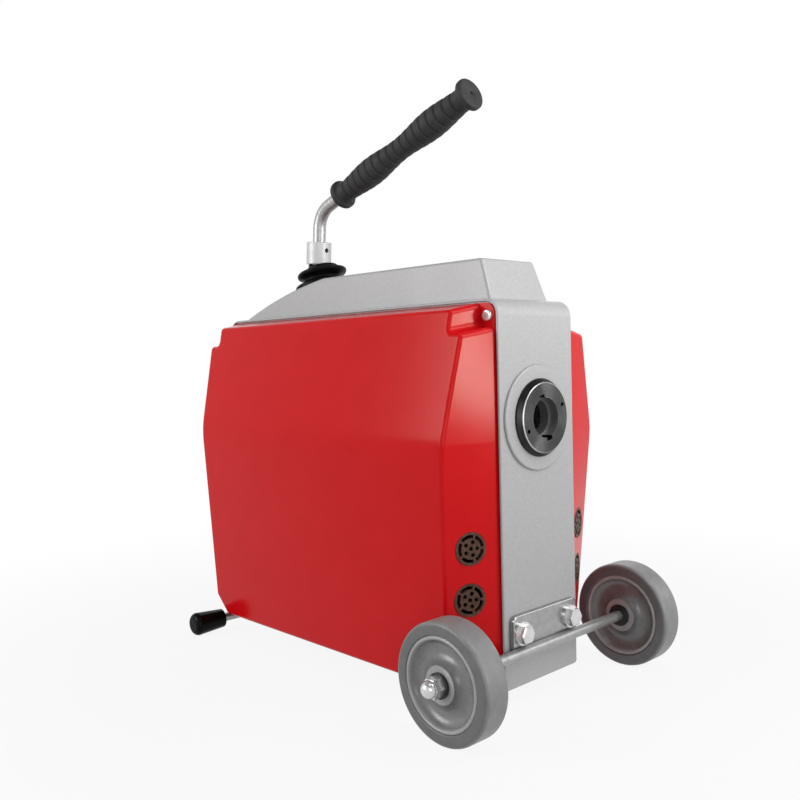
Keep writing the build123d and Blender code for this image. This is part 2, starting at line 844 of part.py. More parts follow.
def bearing_rings(inner, outer):
    """Both bearings' rings between two radii, with a ball groove."""
    with BuildPart() as rings:
        with BuildSketch(Plane.XZ):
            for x in bearing_middles:
                with Locations((x, spindle_z + (inner + outer) / 2)):
                    Rectangle(bearing_width, outer - inner)
                with Locations((x, spindle_z + bearing_pitch)):
                    Circle(bearing_ball_radius + thread_gap, mode=Mode.SUBTRACT)
        revolve(axis=spindle_axis)
    return rings.part


bearing_outer_rings = bearing_rings(bearing_pitch + bearing_land, bearing_outer_radius)
bearing_inner_rings = bearing_rings(bearing_bore_radius, bearing_pitch - bearing_land)
with BuildPart() as bearing_balls:
    for x in bearing_middles:
        with Locations(along_x(x, spindle_z)):
            with PolarLocations(bearing_pitch, bearing_ball_count):
                Sphere(bearing_ball_radius)

# Hollow spindle with the jaw carrier
jaws_front_x = pivot_x - sleeve_hub / 2 - sleeve_travel - slide_gap - carrier_overhang
jaws_rear_x = jaws_front_x - jaw_length
jaws_mid_x = (jaws_front_x + jaws_rear_x) / 2
journal_radius = bearing_bore_radius - running_fit


def radial_plane(index):
    """Plane on the spindle axis at the jaws, facing along one jaw's radius."""
    angle = radians(90 + 360 * index / jaw_count)
    return Plane(
        origin=(jaws_mid_x, 0, spindle_z),
        x_dir=(1, 0, 0),
        z_dir=(0, cos(angle), sin(angle)),
    )


def cone_radius(x):
    """Inner radius of the closing sleeve's cone at rest."""
    cone_start_x = pivot_x - sleeve_hub / 2 - sleeve_relief
    return carrier_radius + cone_start_gap + closing_slope * (cone_start_x - x)


with BuildPart() as spindle:
    with BuildSketch(Plane.XZ):
        with BuildLine():
            front_end = front_x - bearing_setback
            rear_end = rear_x + bearing_setback
            Polyline(
                (front_end, spindle_z + cable_bore_radius),
                (front_end, spindle_z + journal_radius),
                (front_end - bearing_width, spindle_z + journal_radius),
                (front_end - bearing_width, spindle_z + spindle_radius),
                (jaws_front_x + carrier_overhang, spindle_z + spindle_radius),
                (jaws_front_x + carrier_overhang, spindle_z + carrier_radius),
                (jaws_rear_x - carrier_overhang, spindle_z + carrier_radius),
                (jaws_rear_x - carrier_overhang, spindle_z + spindle_radius),
                (rear_end + bearing_width, spindle_z + spindle_radius),
                (rear_end + bearing_width, spindle_z + journal_radius),
                (rear_end, spindle_z + journal_radius),
                (rear_end, spindle_z + cable_bore_radius),
                close=True,
            )
        make_face()
    revolve(axis=spindle_axis)
    for index in range(jaw_count):
        with BuildSketch(radial_plane(index)):
            Rectangle(jaw_length + 2 * jaw_side_gap, jaw_width + 2 * jaw_side_gap)
        extrude(amount=2 * carrier_radius, mode=Mode.SUBTRACT)

# Clutch jaws, drawn back to let the cable through
jaw_parts = []
for index in range(jaw_count):
    with BuildPart() as jaw:
        with BuildSketch(Plane.XZ):
            with BuildLine():
                Polyline(
                    (jaws_front_x, spindle_z + jaw_rest_radius),
                    (jaws_front_x, spindle_z + cone_radius(jaws_front_x) - jaw_cone_gap),
                    (jaws_rear_x, spindle_z + cone_radius(jaws_rear_x) - jaw_cone_gap),
                    (jaws_rear_x, spindle_z + jaw_rest_radius),
                    close=True,
                )
            make_face()
        revolve(axis=spindle_axis)
        with BuildSketch(radial_plane(index)):
            Rectangle(jaw_length, jaw_width)
        extrude(amount=2 * sleeve_radius, mode=Mode.INTERSECT)
    jaw_parts.append(jaw.part)

# Closing sleeve, with a groove for the shift ring
sleeve_front_x = pivot_x + sleeve_hub / 2
sleeve_hub_rear_x = pivot_x - sleeve_hub / 2
sleeve_rear_x = jaws_rear_x - sleeve_lip
groove_half = ring_width / 2 + ring_gap
groove_radius = ring_bore_radius - ring_gap
sleeve_bore = spindle_radius + running_fit
closing_sleeve_part = turned(
    [
        (sleeve_front_x, spindle_z + sleeve_bore),
        (sleeve_front_x, spindle_z + sleeve_radius),
        (pivot_x + groove_half, spindle_z + sleeve_radius),
        (pivot_x + groove_half, spindle_z + groove_radius),
        (pivot_x - groove_half, spindle_z + groove_radius),
        (pivot_x - groove_half, spindle_z + sleeve_radius),
        (sleeve_rear_x, spindle_z + sleeve_radius),
        (sleeve_rear_x, spindle_z + cone_radius(sleeve_rear_x)),
        (sleeve_hub_rear_x, spindle_z + cone_radius(sleeve_hub_rear_x)),
        (sleeve_hub_rear_x, spindle_z + sleeve_bore),
    ],
    spindle_axis,
)

# Shift ring with its two trunnions
fork_inner_y = ring_radius + fork_arm_gap
fork_outer_y = fork_inner_y + fork_arm_thickness
with BuildPart() as shift_ring:
    with BuildSketch(Plane.XZ):
        with Locations((pivot_x, spindle_z)):
            Circle(trunnion_radius)
    extrude(amount=fork_outer_y, both=True)
    with BuildSketch(along_x(pivot_x - ring_width / 2, spindle_z)):
        Circle(ring_radius)
    extrude(amount=ring_width)
    with BuildSketch(along_x(pivot_x - ring_width / 2, spindle_z)):
        Circle(ring_bore_radius)
    extrude(amount=ring_width, mode=Mode.SUBTRACT)

# Clutch lever: planes along its stem and its grip
grip_dir = Vector(cos(radians(grip_angle)), 0, sin(radians(grip_angle)))
corner_point = pivot_point + stem_dir * lever_rise
grip_point = corner_point + grip_dir * grip_start
grip_end_inner = grip_length - grip_end_wall


def stem_plane(distance):
    """Plane square to the lever's stem, at a distance from the pivot."""
    return Plane(origin=pivot_point + stem_dir * distance, x_dir=(0, 1, 0), z_dir=stem_dir)


# Fork: hub on the pivot pin, stem up to the socket, bridge and two arms down
with BuildPart() as lever_fork:
    with BuildSketch(Plane.XZ.offset(pivot_hub_width / 2)):
        with Locations((pivot_x, pivot_z)):
            Circle(pivot_hub_radius)
        with Locations((pivot_x, pivot_z - fork_bridge_drop / 2)):
            Rectangle(fork_width, fork_bridge_drop)
    extrude(amount=-pivot_hub_width + spring_length)
    with BuildSketch(stem_plane(0)):
        Circle(stem_radius)
    extrude(amount=socket_start + stem_engagement)
    with BuildSketch(Plane.XZ):
        with Locations((pivot_x, pivot_z - fork_bridge_drop)):
            Rectangle(fork_width, fork_bridge_height)
    extrude(amount=fork_outer_y, both=True)
    arm_foot_z = spindle_z - fork_arm_overrun
    arm_top_z = pivot_z - fork_bridge_drop
    for side in (-1, 1):
        with BuildSketch(Plane.XZ.offset(-side * fork_inner_y)):
            with Locations((pivot_x, (arm_foot_z + arm_top_z) / 2)):
                Rectangle(fork_width, arm_top_z - arm_foot_z)
        extrude(amount=-side * fork_arm_thickness)
    slot_width = 2 * (trunnion_radius + fork_slot_gap)
    slot_top_z = spindle_z + 2 * trunnion_radius
    with BuildSketch(Plane.XZ):
        with Locations((pivot_x, (arm_foot_z + slot_top_z) / 2)):
            Rectangle(slot_width, slot_top_z - arm_foot_z)
    extrude(amount=fork_outer_y, both=True, mode=Mode.SUBTRACT)
    with BuildSketch(Plane.XZ):
        with Locations((pivot_x, pivot_z)):
            Circle(pivot_pin_radius + running_fit)
    extrude(amount=pivot_hub_width, both=True, mode=Mode.SUBTRACT)

lever_pivot_pin = disc(
    Plane(origin=(pivot_x, -pivot_hub_width / 2 - slide_gap - lug_thickness, pivot_z), z_dir=(0, 1, 0)),
    pivot_pin_radius,
    0,
    pivot_hub_width + 2 * (slide_gap + lug_thickness),
)

# Return spring on the pin, beside the fork's hub
lever_spring = disc(
    Plane(origin=(pivot_x, pivot_hub_width / 2 - spring_length + slide_gap, pivot_z), z_dir=(0, 1, 0)),
    pivot_pin_radius + slide_gap + spring_wire,
    pivot_pin_radius + slide_gap,
    spring_length - slide_gap,
)

# Socket that joins the stem and the bent tube, with its set screw
tube_start = socket_start + stem_engagement + socket_floor
set_screw_height = socket_start + socket_length - set_screw_drop
with BuildPart() as lever_socket:
    with BuildSketch(stem_plane(socket_start)):
        Circle(lever_socket_radius)
    extrude(amount=socket_length)
    chamfer(lever_socket.edges().filter_by(GeomType.CIRCLE), lever_socket_edge)
    with BuildSketch(stem_plane(socket_start)):
        Circle(stem_radius + running_fit)
    extrude(amount=stem_engagement, mode=Mode.SUBTRACT)
    with BuildSketch(stem_plane(tube_start)):
        Circle(lever_tube_radius + running_fit)
    extrude(amount=socket_length, mode=Mode.SUBTRACT)
    socket_front = Plane(
        origin=pivot_point + stem_dir * set_screw_height, x_dir=(0, 1, 0), z_dir=(cos(lean), 0, -sin(lean))
    )
    with BuildSketch(socket_front):
        Circle(set_screw_radius + thread_gap)
    extrude(amount=lever_socket_radius, mode=Mode.SUBTRACT)

lever_set_screw = disc(
    socket_front.offset(lever_tube_radius + slide_gap),
    set_screw_radius,
    0,
    lever_socket_radius - lever_tube_radius - 2 * collar_edge,
)

with BuildPart() as lever_tube:
    with BuildLine() as tube_path:
        FilletPolyline(
            pivot_point + stem_dir * tube_start,
            corner_point,
            grip_point + grip_dir * grip_end_inner,
            radius=lever_bend_radius,
        )
    with BuildSketch(stem_plane(tube_start)):
        Circle(lever_tube_radius)
        Circle(lever_tube_radius - lever_tube_wall, mode=Mode.SUBTRACT)
    sweep(path=tube_path.wires()[0])

# Grip with two ribbed swells between flanges
grip_plane = Plane(origin=grip_point, x_dir=grip_dir, z_dir=(0, -1, 0))
ribs_start = grip_flange_length
ribs_end = grip_length - grip_flange_length


def grip_radius(distance):
    """Radius of the grip's two swells at a distance along it."""
    share = (distance - ribs_start) / (ribs_end - ribs_start)
    return grip_neck_radius + grip_swell * sin(2 * pi * share) ** 2


with BuildPart() as lever_grip:
    with BuildSketch(grip_plane):
        with BuildLine():
            Line((0, 0), (0, grip_flange_radius))
            Line((0, grip_flange_radius), (ribs_start, grip_flange_radius))
            valley = (ribs_start, grip_radius(ribs_start) - grip_rib_depth)
            Line((ribs_start, grip_flange_radius), valley)
            pitch = (ribs_end - ribs_start) / grip_rib_count
            for rib in range(grip_rib_count):
                start = ribs_start + rib * pitch
                middle = start + pitch / 2
                end = start + pitch
                ThreePointArc(
                    (start, grip_radius(start) - grip_rib_depth),
                    (middle, grip_radius(middle)),
                    (end, grip_radius(end) - grip_rib_depth),
                )
            Line((ribs_end, grip_radius(ribs_end) - grip_rib_depth), (ribs_end, grip_flange_radius))
            Line((ribs_end, grip_flange_radius), (grip_length, grip_flange_radius))
            Line((grip_length, grip_flange_radius), (grip_length, 0))
            Line((grip_length, 0), (0, 0))
        make_face()
    revolve(axis=Axis(grip_point, grip_dir))
    flange_rims = lever_grip.edges().filter_by(GeomType.CIRCLE)
    fillet(
        flange_rims.filter_by(lambda e: abs(e.radius - grip_flange_radius) < slide_gap),
        grip_flange_edge,
    )
    bore_plane = Plane(origin=grip_point, z_dir=grip_dir)
    with BuildSketch(bore_plane):
        Circle(lever_tube_radius + running_fit)
    extrude(amount=grip_end_inner, mode=Mode.SUBTRACT)
    with BuildSketch(bore_plane):
        Circle(grip_end_hole_radius)
    extrude(amount=grip_length, mode=Mode.SUBTRACT)

# Boot: flat folds parallel to its seat, and a neck round the stem
def boot_plane(rise):
    """Plane across the boot at a rise along the stem, parallel to the boot's seat."""
    return Plane(
        origin=boot_seat.origin + stem_dir * rise, x_dir=boot_seat.x_dir, z_dir=boot_seat.z_dir
    )


with BuildPart() as boot:
    with BuildSketch(boot_seat):
        Circle(boot_base_radius)
    extrude(amount=boot_base_height)
    fillet(boot.edges(Select.LAST), boot_fold_edge)
    for radius, rise, height in zip(boot_fold_radii, boot_fold_rises, boot_fold_heights):
        with BuildSketch(boot_plane(rise - height / 2)):
            Circle(radius)
        extrude(amount=height)
        fillet(boot.edges(Select.LAST).filter_by(GeomType.CIRCLE), boot_fold_edge)
    with BuildSketch(boot_seat):
        Circle(boot_valley_radius)
    extrude(amount=boot_fold_rises[0])
    with BuildSketch(stem_plane(boot_start + boot_fold_rises[0])):
        Circle(stem_radius + boot_wall)
    extrude(amount=boot_height - boot_fold_rises[0])
    with BuildSketch(stem_plane(0)):
        Circle(stem_radius + slide_gap)
    extrude(amount=lever_rise, mode=Mode.SUBTRACT)
    with BuildSketch(stem_plane(boot_top)):
        Circle(lever_socket_radius + slide_gap)
    extrude(amount=socket_length, mode=Mode.SUBTRACT)
    with BuildSketch(boot_seat):
        Circle(boot_valley_radius - boot_wall)
    extrude(amount=boot_fold_rises[0] - boot_wall, mode=Mode.SUBTRACT)

# Wheels on the axle's two ends
wheel_mid_y = wheel_outer_face - wheel_width / 2
hub_bore = axle_radius + running_fit


def wheel_axis(side):
    return Axis((axle_x, side * wheel_mid_y, axle_z), (0, 1, 0))


def wheel_plane(side):
    """Plane through the wheel's axis, with x outwards along it and y up."""
    return Plane(
        origin=(axle_x, side * wheel_mid_y, axle_z), x_dir=(0, side, 0), z_dir=(side, 0, 0)
    )


def wheel_rim(side):
    """Moulded rim: hub, dished web and a band that carries the tyre, with a round bead at each side."""
    half = wheel_width / 2
    band = rim_radius - rim_lip
    middle = (hub_radius + band) / 2
    foot = half - rim_bead
    crest = band + rim_lip / 2
    with BuildPart() as rim:
        with BuildSketch(wheel_plane(side)):
            with BuildLine():
                Polyline(
                    (-half, hub_radius),
                    (-half, hub_recess_radius),
                    (-half + hub_recess_depth, hub_recess_radius),
                    (-half + hub_recess_depth, hub_bore),
                    (half, hub_bore),
                    (half, hub_radius),
                )
                ThreePointArc((half, hub_radius), (rim_dish, middle), (foot, band))
                ThreePointArc((foot, band), (half, crest), (foot, rim_radius))
                Line((foot, rim_radius), (-foot, rim_radius))
                ThreePointArc((-foot, rim_radius), (-half, crest), (-foot, band))
                ThreePointArc((-foot, band), (-rim_dish, middle), (-half, hub_radius))
            make_face()
        revolve(axis=wheel_axis(side))
    return rim.part


def wheel_tyre(side):
    """Solid rubber tyre with rounded shoulders."""
    with BuildPart() as tyre:
        with BuildSketch(wheel_plane(side)) as section:
            with Locations((0, (rim_radius + running_fit + wheel_radius) / 2)):
                Rectangle(wheel_width, wheel_radius - rim_radius - running_fit)
            fillet(section.vertices().group_by(Axis.Y)[-1], tyre_shoulder)
            fillet(section.vertices().group_by(Axis.Y)[0], rim_lip / 2)
        revolve(axis=wheel_axis(side))
    return tyre.part


# Bracket plate, with a groove along its foot for the axle
axle_groove = axle_radius + running_fit
with BuildPart() as axle_bracket:
    with BuildSketch(along_x(front_x, bracket_foot_z + bracket_height / 2)):
        RectangleRounded(bracket_width, bracket_height, bracket_corner_radius)
    extrude(amount=bracket_thickness)
    fillet(axle_bracket.faces().sort_by(Axis.X)[-1].edges(), bracket_edge)
    with BuildSketch(Plane.XZ):
        with Locations((axle_x, axle_z)):
            Circle(axle_groove)
    extrude(amount=bracket_width, both=True, mode=Mode.SUBTRACT)
    with BuildSketch(along_x(front_x, bolt_z)):
        with GridLocations(bolt_spacing, 0, 2, 1):
            Circle(bolt_radius + thread_gap)
    extrude(amount=bracket_thickness, mode=Mode.SUBTRACT)

with BuildPart() as bracket_washers:
    with BuildSketch(along_x(front_x + bracket_thickness, bolt_z)):
        with GridLocations(bolt_spacing, 0, 2, 1):
            Circle(bolt_washer_radius)
            Circle(bolt_radius + thread_gap, mode=Mode.SUBTRACT)
    extrude(amount=bolt_washer_thickness)

bolt_seat_x = front_x + bracket_thickness + bolt_washer_thickness
bolt_length = bracket_thickness + bolt_washer_thickness + frame_wall + bolt_thread_out
with BuildPart() as bracket_bolts:
    with BuildSketch(along_x(bolt_seat_x, bolt_z)):
        with GridLocations(bolt_spacing, 0, 2, 1):
            RegularPolygon(bolt_flats / 2, 6, major_radius=False)
    extrude(amount=bolt_head_height)
    chamfer(bracket_bolts.edges().group_by(Axis.X)[-1], collar_edge)
    with BuildSketch(along_x(bolt_seat_x, bolt_z)):
        with GridLocations(bolt_spacing, 0, 2, 1):
            Circle(bolt_radius)
    extrude(amount=-bolt_length)

# Axle with its washers and domed nuts
washer_inner_y = wheel_outer_face - wheel_width - slide_gap - axle_washer_thickness
washer_outer_y = wheel_outer_face + slide_gap
nut_seat_y = washer_outer_y + axle_washer_thickness
axle_end_y = nut_seat_y + nut_height
axle = disc(
    Plane(origin=(axle_x, -axle_end_y, axle_z), z_dir=(0, 1, 0)), axle_radius, 0, 2 * axle_end_y
)


def axle_plane(side, y):
    """Plane square to the axle at a distance to one side, facing outwards."""
    return Plane(origin=(axle_x, side * y, axle_z), x_dir=(1, 0, 0), z_dir=(0, side, 0))


with BuildPart() as axle_washers:
    for side in (-1, 1):
        for y in (washer_inner_y, washer_outer_y):
            with BuildSketch(axle_plane(side, y)):
                Circle(axle_washer_radius)
                Circle(axle_radius + running_fit, mode=Mode.SUBTRACT)
            extrude(amount=axle_washer_thickness)

with BuildPart() as axle_nuts:
    for side in (-1, 1):
        with BuildSketch(axle_plane(side, nut_seat_y)):
            RegularPolygon(nut_flats / 2, 6, major_radius=False)
        extrude(amount=nut_height)
        with Locations(axle_plane(side, nut_seat_y + nut_height)):
            Sphere(nut_dome_radius)
        with BuildSketch(axle_plane(side, nut_seat_y)):
            Circle(nut_dome_radius)
        extrude(amount=-nut_dome_radius, mode=Mode.SUBTRACT)
        with BuildSketch(axle_plane(side, nut_seat_y)):
            Circle(axle_radius + thread_gap)
        extrude(amount=nut_height, mode=Mode.SUBTRACT)

# Foot bar with rubber caps, strapped under the far end
foot_axis = Axis((foot_x, 0, foot_z), (0, 1, 0))
foot_bar_half = foot_cap_outer - foot_cap_wall
foot_bar = disc(
    Plane(origin=(foot_x, -foot_bar_half, foot_z), z_dir=(0, 1, 0)),
    foot_bar_radius,
    0,
    2 * foot_bar_half,
)
with BuildPart() as foot_caps:
    for side in (-1, 1):
        with BuildSketch(Plane(origin=(foot_x, 0, foot_z), x_dir=(0, side, 0), z_dir=(side, 0, 0))):
            with BuildLine():
                Polyline(
                    (foot_cap_outer - foot_cap_length, foot_bar_radius + running_fit),
                    (foot_cap_outer - foot_cap_length, foot_cap_radius - foot_cap_taper),
                    (foot_cap_outer - foot_cap_edge, foot_cap_radius),
                )
                RadiusArc(
                    (foot_cap_outer - foot_cap_edge, foot_cap_radius),
                    (foot_cap_outer, foot_cap_radius - foot_cap_edge),
                    foot_cap_edge,
                )
                Polyline(
                    (foot_cap_outer, foot_cap_radius - foot_cap_edge),
                    (foot_cap_outer, 0),
                    (foot_bar_half, 0),
                    (foot_bar_half, foot_bar_radius + running_fit),
                    (foot_cap_outer - foot_cap_length, foot_bar_radius + running_fit),
                )
            make_face()
        revolve(axis=foot_axis)

with BuildPart() as foot_clamps:
    for y in (-clamp_spacing / 2, clamp_spacing / 2):
        with BuildSketch(Plane.XZ.offset(-y - clamp_width / 2)):
            with Locations((foot_x, foot_z)):
                Circle(clamp_hug)
            with Locations((foot_x, (foot_z + frame_bottom) / 2)):
                Rectangle(2 * clamp_hug, frame_bottom - foot_z)
            with Locations((foot_x, frame_bottom - clamp_thickness / 2)):
                Rectangle(2 * (clamp_hug + clamp_flange), clamp_thickness)
            with Locations((foot_x, frame_bottom + clamp_hug / 2)):
                Rectangle(3 * clamp_hug, clamp_hug, mode=Mode.SUBTRACT)
            with Locations((foot_x, foot_z)):
                Circle(foot_bar_radius + running_fit, mode=Mode.SUBTRACT)
            with Locations((foot_x, (foot_z + frame_bottom) / 2)):
                Rectangle(2 * foot_bar_radius, frame_bottom - foot_z, mode=Mode.SUBTRACT)
        extrude(amount=clamp_width)
    with BuildSketch(Plane.XY.offset(frame_bottom)):
        with Locations((foot_x, 0)):
            with GridLocations(clamp_screw_spacing, clamp_spacing, 2, 2):
                Circle(clamp_screw_radius + thread_gap)
    extrude(amount=-clamp_thickness, mode=Mode.SUBTRACT)

with BuildPart() as foot_clamp_screws:
    with BuildSketch(Plane.XY.offset(frame_bottom - clamp_thickness)):
        with Locations((foot_x, 0)):
            with GridLocations(clamp_screw_spacing, clamp_spacing, 2, 2):
                Circle(clamp_screw_head_radius)
    extrude(amount=-clamp_screw_head_height)
    fillet(foot_clamp_screws.edges().group_by(Axis.Z)[0], clamp_screw_edge)
    with BuildSketch(Plane.XY.offset(frame_bottom - clamp_thickness)):
        with Locations((foot_x, 0)):
            with GridLocations(clamp_screw_spacing, clamp_spacing, 2, 2):
                Circle(clamp_screw_radius)
    extrude(amount=clamp_thickness + clamp_screw_grip)

# Belt drive
belt_front_x = front_x - pulley_setback
belt_rear_x = belt_front_x - belt_width


def belt_outline(gap):
    """Outline round both pulleys at a gap from their faces, as a solid slice."""
    with BuildPart() as outline:
        with BuildSketch(along_x(belt_rear_x, 0)):
            with Locations((0, spindle_z)):
                Circle(driven_pulley_radius + gap)
            with Locations((0, motor_z)):
                Circle(drive_pulley_radius + gap)
            make_hull()
        extrude(amount=belt_width)
    return outline.part


drive_belt = belt_outline(slide_gap + belt_thickness) - belt_outline(slide_gap)


def pulley(radius, hub, bore, axis_z, web):
    """Flanged pulley: a rim as wide as the belt, a web and a hub."""
    front = belt_front_x + slide_gap + pulley_flange_thickness
    rear = belt_rear_x - slide_gap - pulley_flange_thickness
    rim_inner = radius - pulley_flange
    middle = (front + rear) / 2
    with BuildPart() as wheel:
        with BuildSketch(along_x(rear, axis_z)):
            Circle(radius + pulley_flange)
        extrude(amount=front - rear)
        with BuildSketch(along_x(belt_rear_x - slide_gap, axis_z)):
            Circle(radius + 2 * pulley_flange)
            Circle(radius, mode=Mode.SUBTRACT)
        extrude(amount=belt_width + 2 * slide_gap, mode=Mode.SUBTRACT)
        if web:
            for x, way in ((front, -1), (rear, 1)):
                with BuildSketch(along_x(x, axis_z)):
                    Circle(rim_inner)
                    Circle(hub, mode=Mode.SUBTRACT)
                extrude(amount=way * (abs(front - middle) - web / 2), mode=Mode.SUBTRACT)
        with BuildSketch(along_x(rear, axis_z)):
            Circle(bore)
        extrude(amount=front - rear, mode=Mode.SUBTRACT)
    return wheel.part


driven_pulley = pulley(
    driven_pulley_radius, pulley_hub_radius, spindle_radius + running_fit, spindle_z, pulley_web
)
drive_pulley = pulley(drive_pulley_radius, 0, motor_shaft_radius + running_fit, motor_z, 0)

# Motor
shell_front_x = motor_front_x - motor_shield
shell_rear_x = motor_rear_x + motor_shield
motor_case = disc(
    along_x(shell_rear_x, motor_z), motor_radius, motor_radius - motor_shell, shell_front_x - shell_rear_x
)
shaft_hole = motor_shaft_radius + running_fit
motor_front_shield = disc(along_x(shell_front_x, motor_z), motor_radius, shaft_hole, motor_shield)
motor_rear_shield = disc(along_x(motor_rear_x, motor_z), motor_radius, shaft_hole, motor_shield)
stator_core = disc(
    along_x(motor_middle_x - stator_length / 2, motor_z),
    motor_radius - motor_shell - running_fit,
    stator_bore_radius,
    stator_length,
)
rotor_core = disc(
    along_x(motor_middle_x - stator_length / 2, motor_z),
    stator_bore_radius - rotor_air_gap,
    shaft_hole,
    stator_length,
)
fan_front_x = motor_rear_x - fan_gap
fan_rear_x = fan_front_x - fan_blade_width
motor_shaft = disc(
    along_x(fan_rear_x, motor_z),
    motor_shaft_radius,
    0,
    belt_front_x + slide_gap + pulley_flange_thickness - fan_rear_x,
)
fan_hub = motor_shaft_radius + fan_hub_wall
with BuildPart() as motor_fan:
    with BuildSketch(along_x(fan_front_x, motor_z)):
        Circle(fan_radius)
    extrude(amount=-fan_thickness)
    with BuildSketch(along_x(fan_front_x, motor_z)):
        Circle(fan_hub)
        with PolarLocations((fan_radius + motor_shaft_radius) / 2, fan_blade_count):
            Rectangle(fan_radius - motor_shaft_radius - fan_thickness, fan_thickness)
    extrude(amount=-fan_blade_width)
    with BuildSketch(along_x(fan_front_x, motor_z)):
        Circle(shaft_hole)
    extrude(amount=-fan_blade_width, mode=Mode.SUBTRACT)

with BuildPart() as motor_mount:
    with BuildSketch(Plane.XY.offset(floor_z)):
        with Locations((motor_middle_x, 0)):
            Rectangle(mount_length, mount_width)
    extrude(amount=motor_lift + mount_wrap)
    with BuildSketch(along_x(motor_rear_x, motor_z)):
        Circle(motor_radius + running_fit)
    extrude(amount=motor_length, mode=Mode.SUBTRACT)
    with BuildSketch(Plane.XY.offset(floor_z)):
        with Locations((motor_middle_x, 0)):
            with GridLocations(mount_bolt_spacing_x, mount_bolt_spacing_y, 2, 2):
                Circle(mount_bolt_radius + thread_gap)
    extrude(amount=mount_bolt_grip, mode=Mode.SUBTRACT)

with BuildPart() as motor_bolts:
    with BuildSketch(Plane.XY.offset(frame_bottom)):
        with Locations((motor_middle_x, 0)):
            with GridLocations(mount_bolt_spacing_x, mount_bolt_spacing_y, 2, 2):
                RegularPolygon(mount_bolt_head_radius, 6)
    extrude(amount=-mount_bolt_head_height)
    with BuildSketch(Plane.XY.offset(frame_bottom)):
        with Locations((motor_middle_x, 0)):
            with GridLocations(mount_bolt_spacing_x, mount_bolt_spacing_y, 2, 2):
                Circle(mount_bolt_radius)
    extrude(amount=frame_wall + mount_bolt_grip)

# Capacitor lying along the frame's floor, in a clip held by two screws
capacitor_z = floor_z + clip_radius
clip_middle_x = clip_x + clip_width / 2
capacitor = disc(along_x(capacitor_rear_x, capacitor_z), capacitor_radius, 0, capacitor_length)
with BuildPart() as capacitor_clip:
    with BuildSketch(along_x(clip_x, capacitor_z)):
        Circle(clip_radius)
        with Locations((0, -clip_radius + clip_thickness / 2)):
            Rectangle(2 * (clip_radius + clip_width), clip_thickness)
        Circle(capacitor_radius + running_fit, mode=Mode.SUBTRACT)
    extrude(amount=clip_width)
    with BuildSketch(Plane.XY.offset(floor_z)):
        with Locations((clip_middle_x, 0)):
            with GridLocations(0, clip_screw_spacing, 1, 2):
                Circle(clip_screw_radius + thread_gap)
    extrude(amount=clip_thickness, mode=Mode.SUBTRACT)

with BuildPart() as clip_screws:
    with BuildSketch(Plane.XY.offset(floor_z + clip_thickness)):
        with Locations((clip_middle_x, 0)):
            with GridLocations(0, clip_screw_spacing, 1, 2):
                Circle(clip_screw_head_radius)
    extrude(amount=clip_screw_head_height)
    with BuildSketch(Plane.XY.offset(floor_z + clip_thickness)):
        with Locations((clip_middle_x, 0)):
            with GridLocations(0, clip_screw_spacing, 1, 2):
                Circle(clip_screw_radius)
    extrude(amount=-clip_thickness - clip_screw_grip)

# Rotary switch and cord gland on the end away from the wheels
with BuildPart() as switch_body:
    with BuildSketch(along_x(rear_x, switch_z)):
        RectangleRounded(switch_side, switch_side, switch_corner_radius)
    extrude(amount=-switch_plate)
    with BuildSketch(along_x(rear_x, switch_z)):
        Rectangle(switch_body_side, switch_body_side)
    extrude(amount=switch_depth)
    with BuildSketch(along_x(rear_x - switch_plate, switch_z)):
        Circle(knob_shaft_radius + running_fit)
    extrude(amount=switch_plate + knob_shaft_length + slide_gap, mode=Mode.SUBTRACT)

knob_face_x = rear_x - switch_plate - slide_gap
with BuildPart() as switch_knob:
    with BuildSketch(along_x(knob_face_x, switch_z)):
        Circle(knob_radius)
    extrude(amount=-knob_disc)
    with BuildSketch(along_x(knob_face_x, switch_z)):
        RectangleRounded(knob_bar_width, 2 * (knob_radius - knob_edge), knob_edge)
    extrude(amount=-knob_length)
    fillet(switch_knob.edges().group_by(Axis.X)[0], knob_edge)
    with BuildSketch(along_x(knob_face_x, switch_z)):
        Circle(knob_shaft_radius)
    extrude(amount=switch_plate + slide_gap + knob_shaft_length)

with BuildPart() as cable_gland:
    with BuildSketch(along_x(rear_x, gland_z)):
        RegularPolygon(gland_flats / 2, 6, major_radius=False)
    extrude(amount=-gland_nut)
    with BuildSketch(along_x(rear_x - gland_nut, gland_z)):
        Circle(gland_flats / 2)
    extrude(amount=-gland_dome)
    fillet(cable_gland.edges().group_by(Axis.X)[0], gland_edge)
    with BuildSketch(along_x(rear_x, gland_z)):
        Circle(gland_radius)
    extrude(amount=frame_wall)
    with BuildSketch(along_x(rear_x + frame_wall, gland_z)):
        RegularPolygon(gland_flats / 2, 6, major_radius=False)
    extrude(amount=gland_nut)
    with BuildSketch(along_x(rear_x + frame_wall + gland_nut, gland_z)):
        Circle(gland_bore_radius)
    extrude(amount=-frame_wall - 2 * gland_nut - gland_dome, mode=Mode.SUBTRACT)

